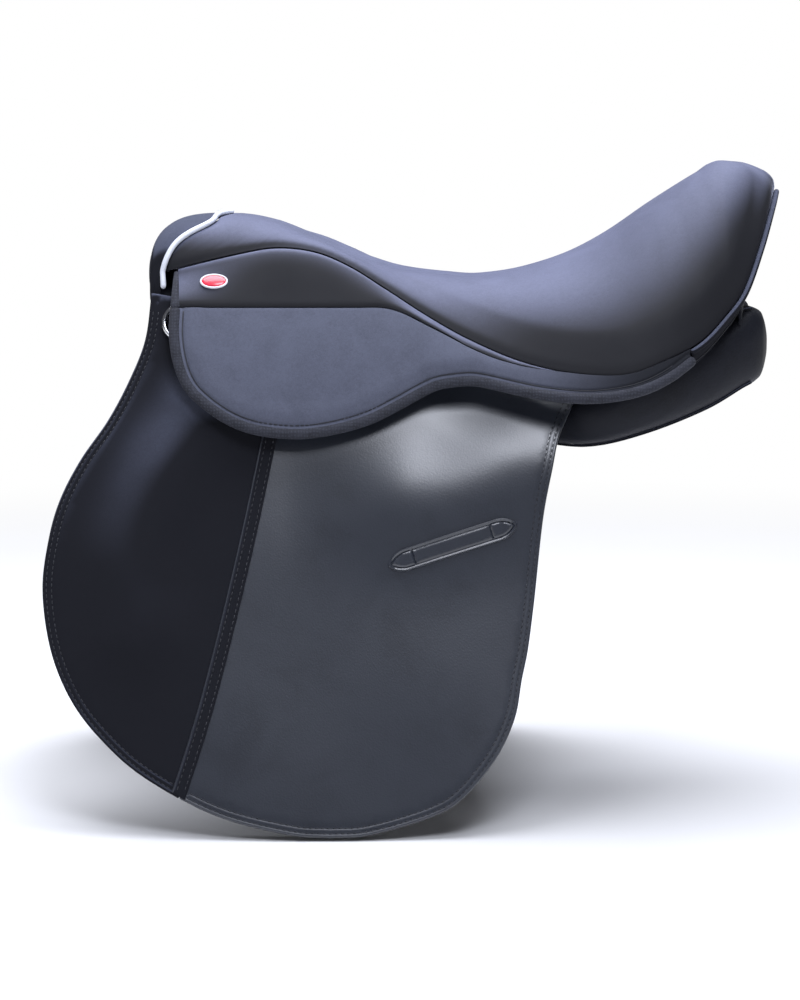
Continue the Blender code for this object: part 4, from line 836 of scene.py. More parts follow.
def makeYoke(name, side):
    x = np.r_[np.linspace(skirt["front"], -0.155, 14)[:-1], np.linspace(-0.155, 0.1500, 122)]
    share = np.linspace(0, 1, 22)[None, :]
    slope = seamSlope(x)
    top = seatSeam(x) + slope * 0.0009 - (0, 0, 0.0006)
    foot = underYoke(x) + (0, 0, 0.0005)
    chord = np.linalg.norm(foot - top, axis=1, keepdims=True)
    lower = skirtPoint(x, foot[:, 2] - 0.002) - skirtPoint(x, foot[:, 2])
    turned = ease((x - 0.020) / 0.040)[:, None]
    way = unit(unit(lower) * (1 - turned) + unit(foot - top) * turned)
    rows = hermite(top[:, None], (slope * chord * 0.8)[:, None], foot[:, None],
                   (way * chord)[:, None], share)
    reach = np.minimum(share, 1 - share) * chord
    puff = skirt["puff"] * np.sin(math.pi * share) ** 0.8 - 0.0008 * bell(reach, 0.0018)
    puff = puff * np.clip(chord / 0.02, 0, 1)
    rows = mirrored(rows + gridNormals(rows, (0, 1, 1)) * puff[..., None], side)
    yoke = leatherSheet(rows, skirt["leather"], (0, side, 1))
    piece = addPiece(f"{name}_yoke_pad", yoke, "seatNubuck", f"{name}_yoke", slot="skirt_nubuck")


# Skin of the skirt, the lobe's columns and then the tail's
def skirtSkin():
    deep = 1 - (1 - np.linspace(0, 1, 46)) ** 1.35
    fore = np.r_[np.linspace(skirt["front"], -0.150, 20)[:-1], np.linspace(-0.150, 0.040, 90)]
    high = atX(skirt["yokeLine"], fore)[:, 2] - 0.00045 * (1 + ease(fore / 0.010))
    low = atX(skirt["edge"][1:], fore)[:, 1]
    lobe = skirtPoint(fore[:, None], high[:, None] + (low - high)[:, None] * deep)
    aft = np.linspace(0.0500, 0.219, 80)
    slope, late = seamSlope(aft), joined(aft)
    start = slope * late + unit(underYoke(aft) - seatSeam(aft)) * (1 - late)
    top = ((seatSeam(aft) + slope * 0.0009) * late
           + (underYoke(aft) - (0, 0, 0.0006)) * (1 - late))
    foot = atX(skirt["tailEdge"], aft)
    foot[:, 0] = aft
    chord = np.linalg.norm(foot - top, axis=1, keepdims=True)
    tail = hermite(top[:, None], (start * chord)[:, None], foot[:, None],
                   (chord * (0, 0.2, -1))[:, None], deep[None, :])
    skin = np.vstack([lobe, tail])
    seam = skin[:, 0].copy()
    for _ in range(14):
        skin[len(fore) - 16:len(fore) + 16, :, 1:] = relaxed(
            skin[len(fore) - 17:len(fore) + 17, :, 1:])
    return skin + (seam - skin[:, 0])[:, None] * ((1 - deep) ** 3)[None, :, None]


# Skirts: yoke, skirt with its bound edge and the row of stitches inside the binding
def makeSkirt(name, side):
    makeYoke(name, side)
    skin = skirtSkin()
    path = skirtPoint(*smoothed(skirt["edge"], 10).T)
    path = np.vstack([path[:-6], smoothed(skirt["tailEdge"], 10)[3:]])
    for _ in range(6):
        path[1:-1] = relaxed(path)
    path = evenly(path, 0.0022)
    reach = distances(skin.reshape(-1, 3), path).reshape(skin.shape[:2])
    normals = gridNormals(skin, (0, 1, 0.4))
    rise = (0.0010 * bell(reach - skirt["stitchIn"] - 0.009, 0.007)
            - skirt["groove"] * bell(reach - skirt["stitchIn"], 0.0011))
    skin = mirrored(skin + normals * rise[..., None], side)
    cloth = leatherSheet(skin, skirt["leather"], (0, side, 0.4))
    path = mirrored(path, side)
    lay = np.tile((0, side, 0.25), (len(path), 1))
    roll = rollMesh(path - (0, side * skirt["leather"] / 2, 0), lay, *skirt["binding"])
    # the stitches lie in the groove, the same way in from the binding all along
    inward = np.cross(unit(np.gradient(path, axis=0)), lay) * side
    inward *= np.sign(np.sum(inward * (0, 0, 1), -1).mean())
    row = path + unit(inward) * skirt["stitchIn"]
    flatSkin, flatNormals = skin.reshape(-1, 3), mirrored(normals, side).reshape(-1, 3)
    for k, spot in enumerate(row):
        near = np.argsort(np.sum((flatSkin - spot) ** 2, -1))[:5]
        lay[k] = out = unit(flatNormals[near].mean(0))
        row[k] = spot - out * ((spot - flatSkin[near].mean(0)) @ out)
    keep = (row[:, 2] < skirt["foldHigh"] - 0.003) & (row[:, 0] < 0.2050)
    pieces = [
        addPiece(f"{name}_skirt_skin", cloth, "skirtNubuck", f"{name}_skirt",
                 f"{name}_skirt_tail", body=None),
        addPiece(f"{name}_skirt_edge", roll, "bindingFabric", f"{name}_skirt_binding",
                 f"{name}_tail_binding", body=None),
        addStitches(f"{name}_skirt_stitches", row[keep], lay[keep], body=None),
    ]
    for piece in pieces:
        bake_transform(piece)
    # bound front end of the yoke, running up to a point
    rise = np.linspace(0, 1, 12)[:, None]
    foot, tip = skirt["tip"]
    line = foot + (tip - foot) * rise + (0, 0.0016, 0.0010) * np.sin(math.pi * rise)
    size = 0.0036 - 0.0019 * rise[:, 0]
    addPiece(f"{name}_yoke_edge", rollMesh(mirrored(line, side), (0, side, 0.9), size, size * 0.8),
             "bindingFabric")


# Oval badge: red enamel in a pale rim
badge = {
    "x": -0.1430, "length": 0.0212, "height": 0.0130, "lean": math.radians(51.5), "rim": 0.0011,
    "proud": 0.0012,
    "dome": np.array([
        (1, -0.0006), (1, 0.0006), (0.93, 0.0010), (0.72, 0.00135), (0.4, 0.0016), (0.12, 0.0017),
    ]),  # share of its size, and how high the enamel stands there
}


def makeBadge(name, side):
    middle = (seatSeam(badge["x"]) + atX(skirt["yokeLine"], badge["x"])) / 2
    middle[0] = badge["x"]
    sine, cosine = math.sin(badge["lean"]), math.cos(badge["lean"])
    out, up = np.array((0, sine, cosine)), np.array((0, -cosine, sine))
    turn = circle(56)

    def ovals(lift, smaller, share):
        rings = ringsAlong(middle + out * (badge["proud"] + lift), np.array((1, 0, 0)), up,
                           np.cos(turn) * (badge["length"] / 2 - smaller) * share,
                           np.sin(turn) * (badge["height"] / 2 - smaller) * share)
        return mirrored(rings, side)

    share, lift = badge["dome"][:, :1], badge["dome"][:, 1:]
    face = makeMesh(ovals(lift, badge["rim"], share), tubeFaces(len(share), 56))
    addPiece(f"{name}_badge_face", face, "badgeEnamel", f"{name}_badge")
    ring = ovals(np.array([[0.0004]]), badge["rim"] / 2, 1)[0]
    rim = ringMesh(ring, out * (1, side, 1), badge["rim"] * 0.75, 0.0010, 10)
    addPiece(f"{name}_badge_rim", rim, "badgeRim")


# Closed ring of wire or rolled edge
def ringMesh(path, lay, half, thick, turns):
    way = unit(np.roll(path, -1, axis=0) - np.roll(path, 1, axis=0))
    lay = np.broadcast_to(lay, path.shape)
    turn = circle(turns)
    points = closedLoop(ringsAlong(path, np.cross(way, lay), lay, np.cos(turn) * half,
                                   np.sin(turn) * thick))
    return makeMesh(points, gridFaces(len(points), turns, closed=True), weld=1e-6)


# Flaps: front in suede, rear in smooth leather, each one skin from under the skirt to the edge
knee = np.array([(-0.1650, 0.085), (-0.1950, 0.130), (-0.2150, 0.185), (-0.2150, 0.245)])
kneeRoll = {"half": 0.0150, "form": 0.0085}  # its half width, and how high it shows on the flap
topFall = flap["top"][::-1]


def flapForm(spots):
    x, down = spots[:, 0], spots[:, 1]
    under = down - atX(topFall, x)[:, 1]
    rear = ease((x + 0.09) / 0.10)
    heel = ease((x - 0.02) / 0.09)
    rolled = -flap["rollIn"] * rear * (1 - 0.7 * heel) * (1 - ease(under / 0.062)) ** 1.3
    swell = flap["bulge"] * rear * bell(down - 0.160 + 0.026 * heel, 0.052)
    roll = kneeRoll["form"] * bell(distances(spots, smoothed(knee + (0.016, 0.020), 8)), 0.032)
    soft = 0.0007 * np.sin(x * 31 + 1.1) * np.sin(down * 26 + 0.4) * ease((down - 0.13) / 0.1)
    return rolled + swell + roll + soft


def onFlapSkin(side, spots, lift):
    return onFlap(side, *spots.T, flapForm(spots) + lift)


def seamX(down):
    return np.interp(down, *smoothed(flap["seam"], 12).T)


# Line beside the seam between the flap's two leathers
def bySeam(down, shift):
    return np.stack([seamX(down) + shift, down], -1)


def makeFlap(name, side):
    front, rear = (evenly(smoothed(flap[edge], 12), 0.0035) for edge in ("front", "rear"))
    top = evenly(smoothed(flap["top"], 8), 0.0045)
    fromSeam = top[:, 0] - seamX(top[:, 1])
    topFront, topRear = top[fromSeam < -0.002], top[fromSeam > 0.002]
    # both leathers end a hair's breadth from the seam, which meets the edge at the foot
    gap = 0.0003
    past = front[:, 0] - seamX(front[:, 1])
    last = np.flatnonzero(past < 0)[-1]
    share = past[last] / (past[last] - past[last + 1])
    foot = front[last] * (1 - share) + front[last + 1] * share
    front, rear = (np.vstack([front[:last + 1], foot - (gap, 0)]),
                   np.vstack([foot + (gap, 0), front[last + 1:], rear[1:]]))
    if np.linalg.norm(front[-1] - front[-2]) < 0.0015:
        front = np.delete(front, -2, axis=0)
    if np.linalg.norm(rear[1] - rear[0]) < 0.0015:
        rear = np.delete(rear, 1, axis=0)
    run = np.linspace(0.0, 0.415, 100)
    cross = topRear[-1] * 0.5 + topFront[0] * 0.5
    run = run[(run > cross[1] + 0.002) & (run < foot[1] - 0.0015)]
    leathers = {
        "front": (front, "darkSuede", [front, bySeam(run, -gap)[::-1], topFront], ["front"]),
        "rear": (rear, "flapLeather", [bySeam(run, gap), rear, topRear], ["rear", "root"]),
    }
    for part, (edge, finish, outline, stands) in leathers.items():
        outline = cleanLoop(np.vstack(outline), 0.0012)
        lines = []
        for reach in (0.0012, 0.0022, 0.0030, 0.0038, 0.0052, 0.0062, 0.0070, 0.0078):
            ring = inset(outline, reach)
            keep = distances(ring, closedLoop(outline)) > reach * 0.93
            lines.append(ring[keep & (distances(ring, edge) < reach * 1.05)])
        spots, faces = cutOut(outline, 0.0058, lines)
        reach = distances(spots, edge)
        groove = sum(-0.0003 * bell(reach - row, 0.0008) for row in flap["rows"])
        skin = leatherSheet(onFlapSkin(side, spots, groove), flap["leather"], flapOut(side), faces,
                            rounded=0.0010)
        addToFlap(name, side, f"{part}_skin", skin, finish, *stands)
        for number, reach in enumerate(flap["rows"]):
            ring = insetPath(edge, reach, outline)
            path = onFlapSkin(side, ring[ring[:, 1] > 0.012], -0.0002)
            sewFlap(name, side, f"{part}_stitches_{number + 1}", path, flap["pitch"])

    # strip over the seam, a fine pale ridge along its front edge and two rows of stitches
    strip = []
    for share in np.linspace(-1, 1, 9):
        run = np.linspace(flap["stripFrom"], foot[1] - 0.0010 + 0.0028 * share, 110)
        lift = 0.0013 - 0.0004 * (abs(share) > 0.9) - 0.0003 * bell(abs(share) - 0.55, 0.12)
        strip.append(onFlapSkin(side, bySeam(run, flap["strip"] * share), lift))
    mesh = leatherSheet(np.stack(strip, 1), 0.0016, flapOut(side), rounded=0.0004)
    addToFlap(name, side, "seam_strip", mesh, "darkSuede", "seam")
    run = np.linspace(flap["stripFrom"], foot[1] - 0.0050, 110)
    for number, shift in enumerate((-0.0029, 0.0029)):
        path = onFlapSkin(side, bySeam(run, shift), 0.0011)
        sewFlap(name, side, f"seam_stitches_{number + 1}", path, 0.0046)
    path = onFlapSkin(side, bySeam(run, -0.0058), 0.0004)
    addToFlap(name, side, "seam_bead", rollMesh(path, flapOut(side), 0.0008, turns=8),
              "flapLeather")
    makeTab(name, side)


# Bakes the placing of a piece of the flap into its points
def bendFlap(piece, side):
    start, end = (tuple(onFlap(side, 0.0, down, 0.0)) for down in (0.126, 0.186))
    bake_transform(piece)


def addToFlap(name, side, label, mesh, finish, *stands):
    piece = addPiece(f"{name}_flap_{label}", mesh, finish,
                     *(f"{name}_flap_{item}" for item in stands), body=None)
    bendFlap(piece, side)


def sewFlap(name, side, label, path, pitch):
    piece = addStitches(f"{name}_flap_{label}", path, flapOut(side), body=None, pitch=pitch)
    bendFlap(piece, side)


def cleanLoop(loop, least):
    kept = [loop[0]]
    for spot in loop[1:]:
        if np.linalg.norm(spot - kept[-1]) > least:
            kept.append(spot)
    if np.linalg.norm(kept[0] - kept[-1]) < least:
        kept.pop()
    return np.array(kept)


# Path that follows an edge at a distance inside the outline
def insetPath(edge, amount, outline):
    way = unit(np.gradient(edge, axis=0))
    paths = [edge + np.stack([-way[:, 1], way[:, 0]], -1) * reach for reach in (-amount, amount)]
    path = max(paths, key=lambda path: insideLoop(path, outline).sum())
    return path[insideLoop(path, outline)]


# Embossed tab: a raised frame with D-shaped end cells and a bare middle
tab = {"from": np.array((-0.0090, 0.2140)), "to": np.array((0.0886, 0.1821)), "width": 0.0168,
       "high": 0.0018, "groove": 0.0014, "bars": (0.20, 0.80)}


def makeTab(name, side):
    start, end = tab["from"], tab["to"]
    length = np.linalg.norm(end - start)
    way = (end - start) / length
    across = np.array((-way[1], way[0]))

    def oval(shrink, spacing):
        share = (1 - np.cos(np.linspace(0, math.pi, 60))) / 2
        ends = np.clip(np.minimum(share, 1 - share) / 0.14, 0, 1)
        half = (tab["width"] / 2 - shrink) * np.sin(math.pi / 2 * ends) ** 0.64
        spots = start + way * shrink + np.outer(share, way * (length - 2 * shrink))
        wide = np.outer(half, across)
        return evenly(closedLoop(np.vstack([spots + wide, (spots - wide)[-2:0:-1]])), spacing)

    outline = oval(0, 0.0012)[:-1]
    lines = [oval(shrink, 0.0013) for shrink in (0.0008, 0.0018, 0.0026, 0.0034, 0.0042)]
    bar = np.outer(np.linspace(-0.0055, 0.0055, 12), across)
    lines += [start + way * length * at + way * shift + bar
              for at in tab["bars"] for shift in (-0.0008, 0.0, 0.0008)]
    spots, faces = cutOut(outline, 0.0013, lines)
    reach = distances(spots, closedLoop(outline))
    high = tab["high"] * ease(reach / 0.0009) - tab["groove"] * bell(reach - 0.0026, 0.00065)
    place = (spots - start) @ way / length
    inside = reach > 0.0030
    for at in tab["bars"]:
        high -= tab["groove"] * bell(np.abs(place - at) * length, 0.0007) * inside
    high -= 0.0006 * (inside & (place > 0.215) & (place < 0.785))
    mesh = leatherSheet(onFlapSkin(side, spots, 0.0003 + high), 0.0009, flapOut(side), faces,
                        rounded=0)
    addToFlap(name, side, "tab_frame", mesh, "flapLeather", "tab")


# Flat leather cut to an outline and laid on the flap's plane, with a groove beside its edge
def flatPiece(name, side, outline, outer, thickness, spacing, finish, stands, edge=None, holes=(),
              body="saddle"):
    lines, border = [], closedLoop(outline)
    if edge:
        ring = inset(outline, edge)
        lines.append(ring[distances(ring, border) > edge * 0.93])
    spots, faces = cutOut(outline, spacing, lines, holes)
    out = np.full(len(spots), outer)
    if edge:
        out -= 0.0004 * bell(distances(spots, border) - edge, 0.0006)
    mesh = leatherSheet(onFlap(side, *spots.T, out), thickness, flapOut(side), faces,
                        rounded=min(0.0008, thickness * 0.25))
    addPiece(name, mesh, finish, stands, body=body)


strap = {
    "width": 0.0250, "leather": 0.0040, "first": -0.0350, "apart": 0.0470, "top": 0.0900,
    "length": 0.2550, "holes": 7, "holeFirst": 0.100, "holeEvery": 0.0220, "hole": 0.0025,
    "sewn": 0.0028,
    "end": [(0, 0.0004), (0.4, 0.0011), (0.75, 0.0022), (1, 0.0048)],  # rounded, so that it swings
    "tip": [(1, -0.015), (0.5, -0.004), (0, 0)],
}
sweat = {
    "outline": np.array([
        (-0.1750, 0.051), (-0.2050, 0.095), (-0.2350, 0.150), (-0.2480, 0.215), (-0.2380, 0.280),
        (-0.2000, 0.340), (-0.1300, 0.380), (-0.0500, 0.395), (0.0200, 0.382), (0.0600, 0.345),
        (0.0780, 0.280), (0.0900, 0.190), (0.1000, 0.120), (0.0950, 0.100), (0.0300, 0.082),
        (-0.0100, 0.063), (-0.0400, 0.055), (-0.1000, 0.051), (-0.1750, 0.051),
    ]),
    "leather": 0.0030,
    "sewn": 0.0060,
}
sweatOut = -flap["leather"] - flap["space"]
wallOut = sweatOut - sweat["leather"] - 0.0003


def makeUnderFlap(name, side):
    outline = evenly(smoothed(sweat["outline"], 8), 0.005)[:-1]
    flatPiece(f"{name}_sweat_flap_leather", side, outline, sweatOut, sweat["leather"], 0.009,
              "panelLeather", f"{name}_sweat_flap", edge=sweat["sewn"])
    path = onFlap(side, *closedLoop(inset(outline, sweat["sewn"])).T, sweatOut - 0.0003)
    addStitches(f"{name}_sweat_flap_stitches", path, flapOut(side))

    outer = sweatOut + 0.0003 + strap["leather"]
    half = strap["width"] / 2
    first = strap["first"] - half - 0.006
    last = strap["first"] + strap["apart"] * 2 + half + 0.006
    low = strap["top"] - 0.0006
    web = np.array([(first, low - 0.026), (0.0, low - 0.026), (last, low - 0.004), (last, low),
                    (first, low)])
    flatPiece(f"{name}_girth_webbing", side, evenly(closedLoop(web), 0.004)[:-1], outer,
              strap["leather"], 0.006, "girthWeb", f"{name}_girth_web")
    turn = circle(18)
    shape = np.array(strap["end"] + strap["tip"]) * (half, 1)
    shape[len(strap["end"]):, 1] += strap["length"]
    for k, label in enumerate(("front", "middle", "rear")):
        place = np.array((strap["first"] + strap["apart"] * k, strap["top"]))
        loop = np.vstack([shape, (shape * (-1, 1))[-2:0:-1]]) + place
        hole = np.stack([np.cos(turn), np.sin(turn)], -1) * strap["hole"] + place
        holes = [hole + (0, strap["holeFirst"] + strap["holeEvery"] * n)
                 for n in range(strap["holes"])]
        body = f"{name}_girth_strap_{label}"
        flatPiece(f"{body}_leather", side, evenly(closedLoop(loop), 0.003)[:-1], outer,
                  strap["leather"], 0.0055, "strapLeather", body, edge=strap["sewn"], holes=holes,
                  body=body)
        run = np.linspace(0.004, strap["length"] - 0.018, 80)
        for letter, shift in (("a", strap["sewn"] - half), ("b", half - strap["sewn"])):
            path = onFlap(side, place[0] + shift, place[1] + run, outer - 0.0004)
            addStitches(f"{body}_stitches_{letter}", path, flapOut(side), body=body)

    path = evenly(smoothed(knee, 12), 0.004)
    share = np.linspace(0, 1, len(path))
    swell = 0.35 + 0.65 * np.sin(math.pi * np.clip(share, 0.04, 0.96)) ** 0.5
    line = onFlap(side, *path.T, -flap["leather"] - flap["space"] / 2)
    pucker = 1 + 0.012 * np.sin(share * 95)
    roll = rollMesh(line, flapOut(side), kneeRoll["half"] * swell * pucker,
                    (flap["space"] / 2 - 0.0003) * swell, turns=28)
    piece = addPiece(f"{name}_knee_roll_pad", roll, "panelLeather", f"{name}_knee_roll")


# Circle that is pressed towards a square
def squared(wave, power):
    return np.sign(wave) * np.abs(wave) ** power


# Panels: cushions under the saddle. In front they hang on the wall of the tree.
panel = {
    "front": [(-0.1757, 0.0220, 0.0140, 0, 0.000), (-0.1500, 0.0330, 0.0170, 0, 0.000),
              (-0.0900, 0.0400, 0.0180, 0, 0.000), (-0.0500, 0.0400, 0.0180, 8, 0.002)],
    "rest": [
        (0.0000, 0.0500, 0.0050, 0.0330, 0.0180, 48), (0.0500, 0.0515, -0.0010, 0.0310, 0.0200, 30),
        (0.1000, 0.0500, -0.0040, 0.0310, 0.0230, 20),
        (0.1450, 0.0620, -0.0050, 0.0400, 0.0250, 12),
        (0.1900, 0.0640, 0.0080, 0.0440, 0.0300, 4), (0.2350, 0.0600, 0.0260, 0.0380, 0.0330, 0),
        (0.2640, 0.0540, 0.0420, 0.0310, 0.0335, 0), (0.2795, 0.0505, 0.0450, 0.0225, 0.0275, 0),
        (0.2850, 0.0485, 0.0455, 0.0090, 0.0120, 0),
    ],  # middle, half width, half thickness and lean of the sections behind
    "square": 2.6,
    "down": 0.0730,
    "slack": 0.0012,  # how much smaller it is before it is filled
    "rise": 0.0045,  # how far its filling may push a point out
    "voxel": 0.0050,
    "held": 0.0045,  # its leather is held this far from the seams
    "seams": (1.15, math.pi - 0.42, -1.0, math.pi + 0.42),  # where they run round its section
}


def panelSections():
    table = []
    for x, half, thick, less, inwards in panel["front"]:
        centre = onFlap(1, x, panel["down"], wallOut - 0.0063 - thick)
        table.append((x, centre[1] - inwards, centre[2], half, thick,
                      90 - math.degrees(flap["tilt"]) - less))
    return np.array(table + panel["rest"])


def panelRing(section, turn, smaller=0.0):
    half, thick = (max(size - smaller, 0.002) for size in section[3:5])
    sine, cosine = math.sin(math.radians(section[5])), math.cos(math.radians(section[5]))
    power = 2 / panel["square"]
    return (section[:3] + np.outer(squared(np.cos(turn), power) * half, (0, cosine, -sine))
            + np.outer(squared(np.sin(turn), power) * thick, (0, sine, cosine)))


def makePanels():
    table = panelSections()
    place = np.r_[np.linspace(0, 10, 56)[:-1], np.linspace(10, 12, 12)]
    sections = along(table, place)
    sections[:, 3:5] = np.maximum(sections[:, 3:5], 0.004)
    sections[:, 0] = np.clip(sections[:, 0], table[0, 0], table[-1, 0])
    rings = np.stack([panelRing(s, circle(36), panel["slack"]) for s in sections])
    mesh = makeMesh(rings, tubeFaces(len(rings), 36))
    # seams where its two leathers meet, outside and inside, and round the gusset at the rear
    seams = [np.stack([panelRing(s, np.array([angle]))[0] for s in sections[2:-9]])
             for angle in panel["seams"]]
    mesh = filled(mesh, seams)
    coarse = np.array([v.co for v in mesh.vertices])
    for name, side in sides.items():
        copy = mesh.copy()
        copy.vertices.foreach_set("co", mirrored(coarse, side).ravel())
        if side < 0:
            copy.flip_normals()
        piece = addPiece(f"{name}_panel_cushion", copy, "panelLeather", f"{name}_panel")
        for number, seam in enumerate(seams):
            path = evenly(mirrored(seam, side), 0.003)
            middle = np.stack([np.interp(path[:, 0], table[:, 0], table[:, k]) for k in range(3)],
                              -1)
            away = unit(path - mirrored(middle, side))
            addPiece(f"{name}_panel_seam_{number + 1}",
                     rollMesh(path - away * 0.0006, away, 0.0011, turns=8), "darkSuede")
    print("panels made")


# Fills a cushion with pressure, and holds it in along its seams
def filled(mesh, seams):
    scene = bpy.context.scene
    mesh = baked(mesh, ("REMESH", {"mode": "VOXEL", "voxel_size": panel["voxel"]}))
    before = np.array([v.co for v in mesh.vertices])
    cushion = addObject("filling", mesh)
    held = cushion.vertex_groups.new(name="held")
    near = np.min([distances(before, seam) for seam in seams], axis=0)
    for k in np.flatnonzero(near < panel["held"]):
        held.add([int(k)], 1.0, "REPLACE")
    cloth = cushion.modifiers.new("fill", "CLOTH")
    cloth.settings.quality = 6
    cloth.settings.use_pressure = True
    cloth.settings.uniform_pressure_force = 4
    cloth.settings.vertex_group_mass = "held"
    cloth.settings.effector_weights.gravity = 0
    cloth.collision_settings.use_collision = False
    for number in range(1, 21):
        scene.frame_set(number)
    graph = bpy.context.evaluated_depsgraph_get()
    swollen = bpy.data.meshes.new_from_object(cushion.evaluated_get(graph))
    moved = np.array([v.co for v in swollen.vertices]) - before
    size = np.linalg.norm(moved, axis=1, keepdims=True)
    moved *= np.minimum(1, panel["rise"] / np.maximum(size, 1e-9))
    swollen.vertices.foreach_set("co", (before + moved).ravel())
    bpy.data.objects.remove(cushion, do_unlink=True)
    scene.frame_set(1)
    return baked(swollen, ("SUBSURF", {"levels": 1, "render_levels": 1}))


arch = {"x": -0.1880, "long": 0.0120, "top": 0.1010, "half": 0.0470, "thick": 0.0100,
        "foot": 0.0100, "spread": 0.0130}


def makeArch():
    turn = np.linspace(0, math.pi, 41)
    fall = arch["half"] * 0.75 * (1 - np.sin(turn) ** 0.80)
    half = arch["half"] - arch["thick"] / 2
    line = np.stack([0 * turn, -np.cos(turn) * half, arch["top"] - arch["thick"] / 2 - fall], -1)
    leg = np.linspace(0, 1, 16)[:-1, None]
    left = np.array((0, -half - arch["spread"], arch["foot"])) * (1 - leg) + line[0] * leg
    path = np.vstack([left, line, mirrored(left, -1)[::-1]]) + (arch["x"] + arch["long"] / 2, 0, 0)
    path = evenly(path, 0.003)
    out = np.array((1.0, 0, 0))
    across = np.cross(unit(np.gradient(path, axis=0)), out)
    turn = circle(20)
    points = ringsAlong(path, across, out, squared(np.cos(turn), 0.6) * arch["thick"] / 2,
                        squared(np.sin(turn), 0.6) * arch["long"] / 2)
    mesh = baked(makeMesh(points, tubeFaces(len(path), 20)),
                 ("BEVEL", {"width": 0.0012, "segments": 2, "limit_method": "ANGLE",
                            "angle_limit": math.radians(60)}))
    addPiece("front_arch_pad", mesh, "panelLeather", "front_arch")
    addStitches("front_arch_stitches", path - (arch["long"] / 2 + 0.0001, 0, 0), (-1, 0, 0))


# Fittings, whose solids are shown as they are, but for the wire of the ring
fittings = {
    "_dee_tab": "strapLeather", "_bar_catch": "barSteel", "_stirrup_bar": "barSteel",
    "_bar_rivet_front": "barSteel", "_bar_rivet_rear": "barSteel",
}
ring = {"x": -0.1675, "down": 0.0235, "out": 0.0032, "radius": 0.0134, "wire": 0.0021}


def makeFittings(name, side):
    turn = circle(72)
    path = onFlap(side, ring["x"] + ring["radius"] * np.sin(turn),
                  ring["down"] + ring["radius"] * np.cos(turn), ring["out"])
    wire = ringMesh(path, flapOut(side), ring["wire"], ring["wire"], 16)
    addPiece(f"{name}_dee_ring_wire", wire, "chrome", f"{name}_dee_ring", body=f"{name}_dee")
    for ending, finish in fittings.items():
        dress(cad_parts[name + ending], finish, 38)
    dress(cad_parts[f"gullet_screw_{name}"], "barSteel", 38)


makeSeat()
makePommel()
makeCantle()
for sideName, sideSign in sides.items():
    makeSkirt(sideName, sideSign)
    makeBadge(sideName, sideSign)
    makeFlap(sideName, sideSign)
    makeUnderFlap(sideName, sideSign)
    makeFittings(sideName, sideSign)
    print(sideName, "side made")
makePanels()
makeArch()
for node, finish in (("tree", "treeNylon"), ("gullet_plate", "barSteel")):
    dress(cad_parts[node], finish, 38)

# Studio: white floor that runs out into white, soft light from above and in front
studio = {
    "floor": -0.3108, "wide": 14.0, "whiteFrom": 0.75, "whiteTo": 1.9, "ambient": 0.10,
    "lights": {
        "overhead": ((-0.05, 0.25, 1.75), (0, 0.05, 0), 1.9, 80.0, "#f2f5ff"),
        "frontTop": ((0.25, -1.46, 1.64), (0.05, -0.1, 0.0), 0.8, 24.0, "#eff3ff"),
        "frontFill": ((-1.5, -1.9, 0.9), (-0.1, 0, -0.1), 1.2, 2.0, "#f6f8ff"),
        "rearFill": ((1.4, 1.9, 0.9), (0.1, 0, -0.1), 1.2, 2.0, "#f6f8ff"),
    },  # place, what it points at, size, watts and colour of each light
}


# Turns something placed at a spot so that it faces its target
def aimed(item, spot, target):
    item.location = spot
    item.rotation_euler = (Vector(target) - Vector(spot)).to_track_quat("-Z", "Y").to_euler()


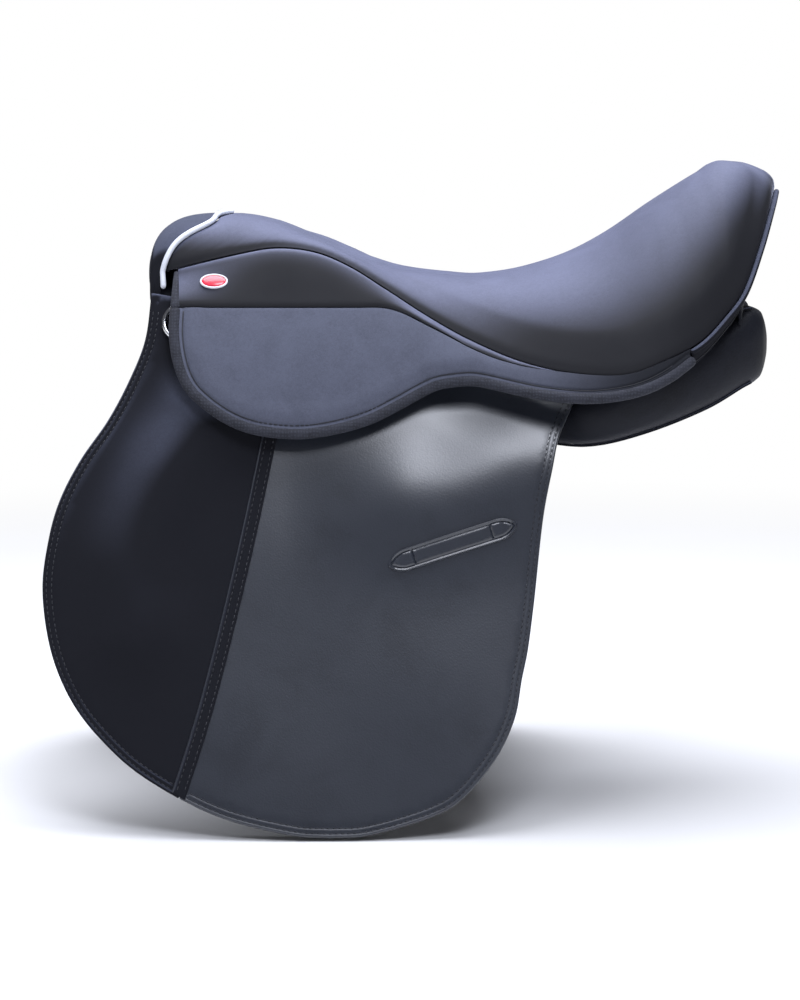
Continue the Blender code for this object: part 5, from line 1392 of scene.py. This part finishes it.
def makeStudio():
    turn = circle(64)
    rings = [np.stack([np.cos(turn) * r, np.sin(turn) * r, 0 * turn + studio["floor"]], -1)
             for r in (0.2, 0.6, 1.2, 2.4, 5.0, studio["wide"])]
    faces = gridFaces(len(rings), 64, closed=True) + [tuple(range(64))]
    floor = addObject("studio_floor", makeMesh(rings, faces, toward=(0, 0, 1)))
    paper = bpy.data.materials.new("studioPaper")
    paper.use_nodes = True
    tree = paper.node_tree
    shader = tree.nodes["Principled BSDF"]
    white = (1, 1, 1, 1)
    fibre = addNode(tree, "TexNoise", {"Scale": 180.0, "Detail": 3.0}), "Fac"
    wire(tree, shader, {"Base Color": ranged(tree, fibre, 0.0, 1.0, 0.80, 0.84, "LINEAR"),
                        "Roughness": 0.9})
    place = addNode(tree, "TexCoord"), "Object"
    reach = addNode(tree, "VectorMath", {0: place}, operation="LENGTH"), "Value"
    share = ranged(tree, reach, studio["whiteFrom"], studio["whiteTo"])
    glow = addNode(tree, "Emission", {"Color": white, "Strength": 1.0})
    both = addNode(tree, "MixShader", {0: share, 1: (shader, "BSDF"), 2: (glow, "Emission")})
    wire(tree, tree.nodes["Material Output"], {"Surface": (both, "Shader")})
    floor.data.materials.append(paper)

    for label, (spot, target, size, power, colour) in studio["lights"].items():
        lamp = bpy.data.lights.new(label, "AREA")
        lamp.shape = "SQUARE"
        lamp.size = size
        lamp.energy = power
        lamp.color = linear(colour)[:3]
        aimed(addObject(label, lamp), spot, target)
    world = bpy.data.worlds.new("studioLight")
    bpy.context.scene.world = world
    world.use_nodes = True
    tree = world.node_tree
    soft = tree.nodes["Background"]
    wire(tree, soft, {"Color": linear("#f6f7ff"), "Strength": studio["ambient"]})
    # what is seen past the floor is plain white, and lights the saddle only a little
    seen = addNode(tree, "LightPath"), "Is Camera Ray"
    plain = addNode(tree, "Background", {"Color": white, "Strength": 1.0})
    both = addNode(tree, "MixShader", {0: seen, 1: (soft, "Background"), 2: (plain, "Background")})
    wire(tree, tree.nodes["World Output"], {"Surface": (both, "Shader")})


# Camera at the height of someone looking slightly down on the near side
camera = {"distance": 2.5, "rise": math.radians(8), "aim": (0.0, 0.0, -0.085), "lens": 112.5}


def makeCamera():
    lens = bpy.data.cameras.new("camera")
    lens.lens = camera["lens"]
    lens.sensor_width = 36
    lens.clip_end = 50
    item = addObject("camera", lens)
    back = Vector((0, -math.cos(camera["rise"]), math.sin(camera["rise"])))
    aimed(item, Vector(camera["aim"]) + back * camera["distance"], camera["aim"])
    bpy.context.scene.camera = item
    bpy.context.scene.view_settings.view_transform = "Standard"


makeStudio()
makeCamera()
bpy.context.view_layer.update()
print("saddle ready")
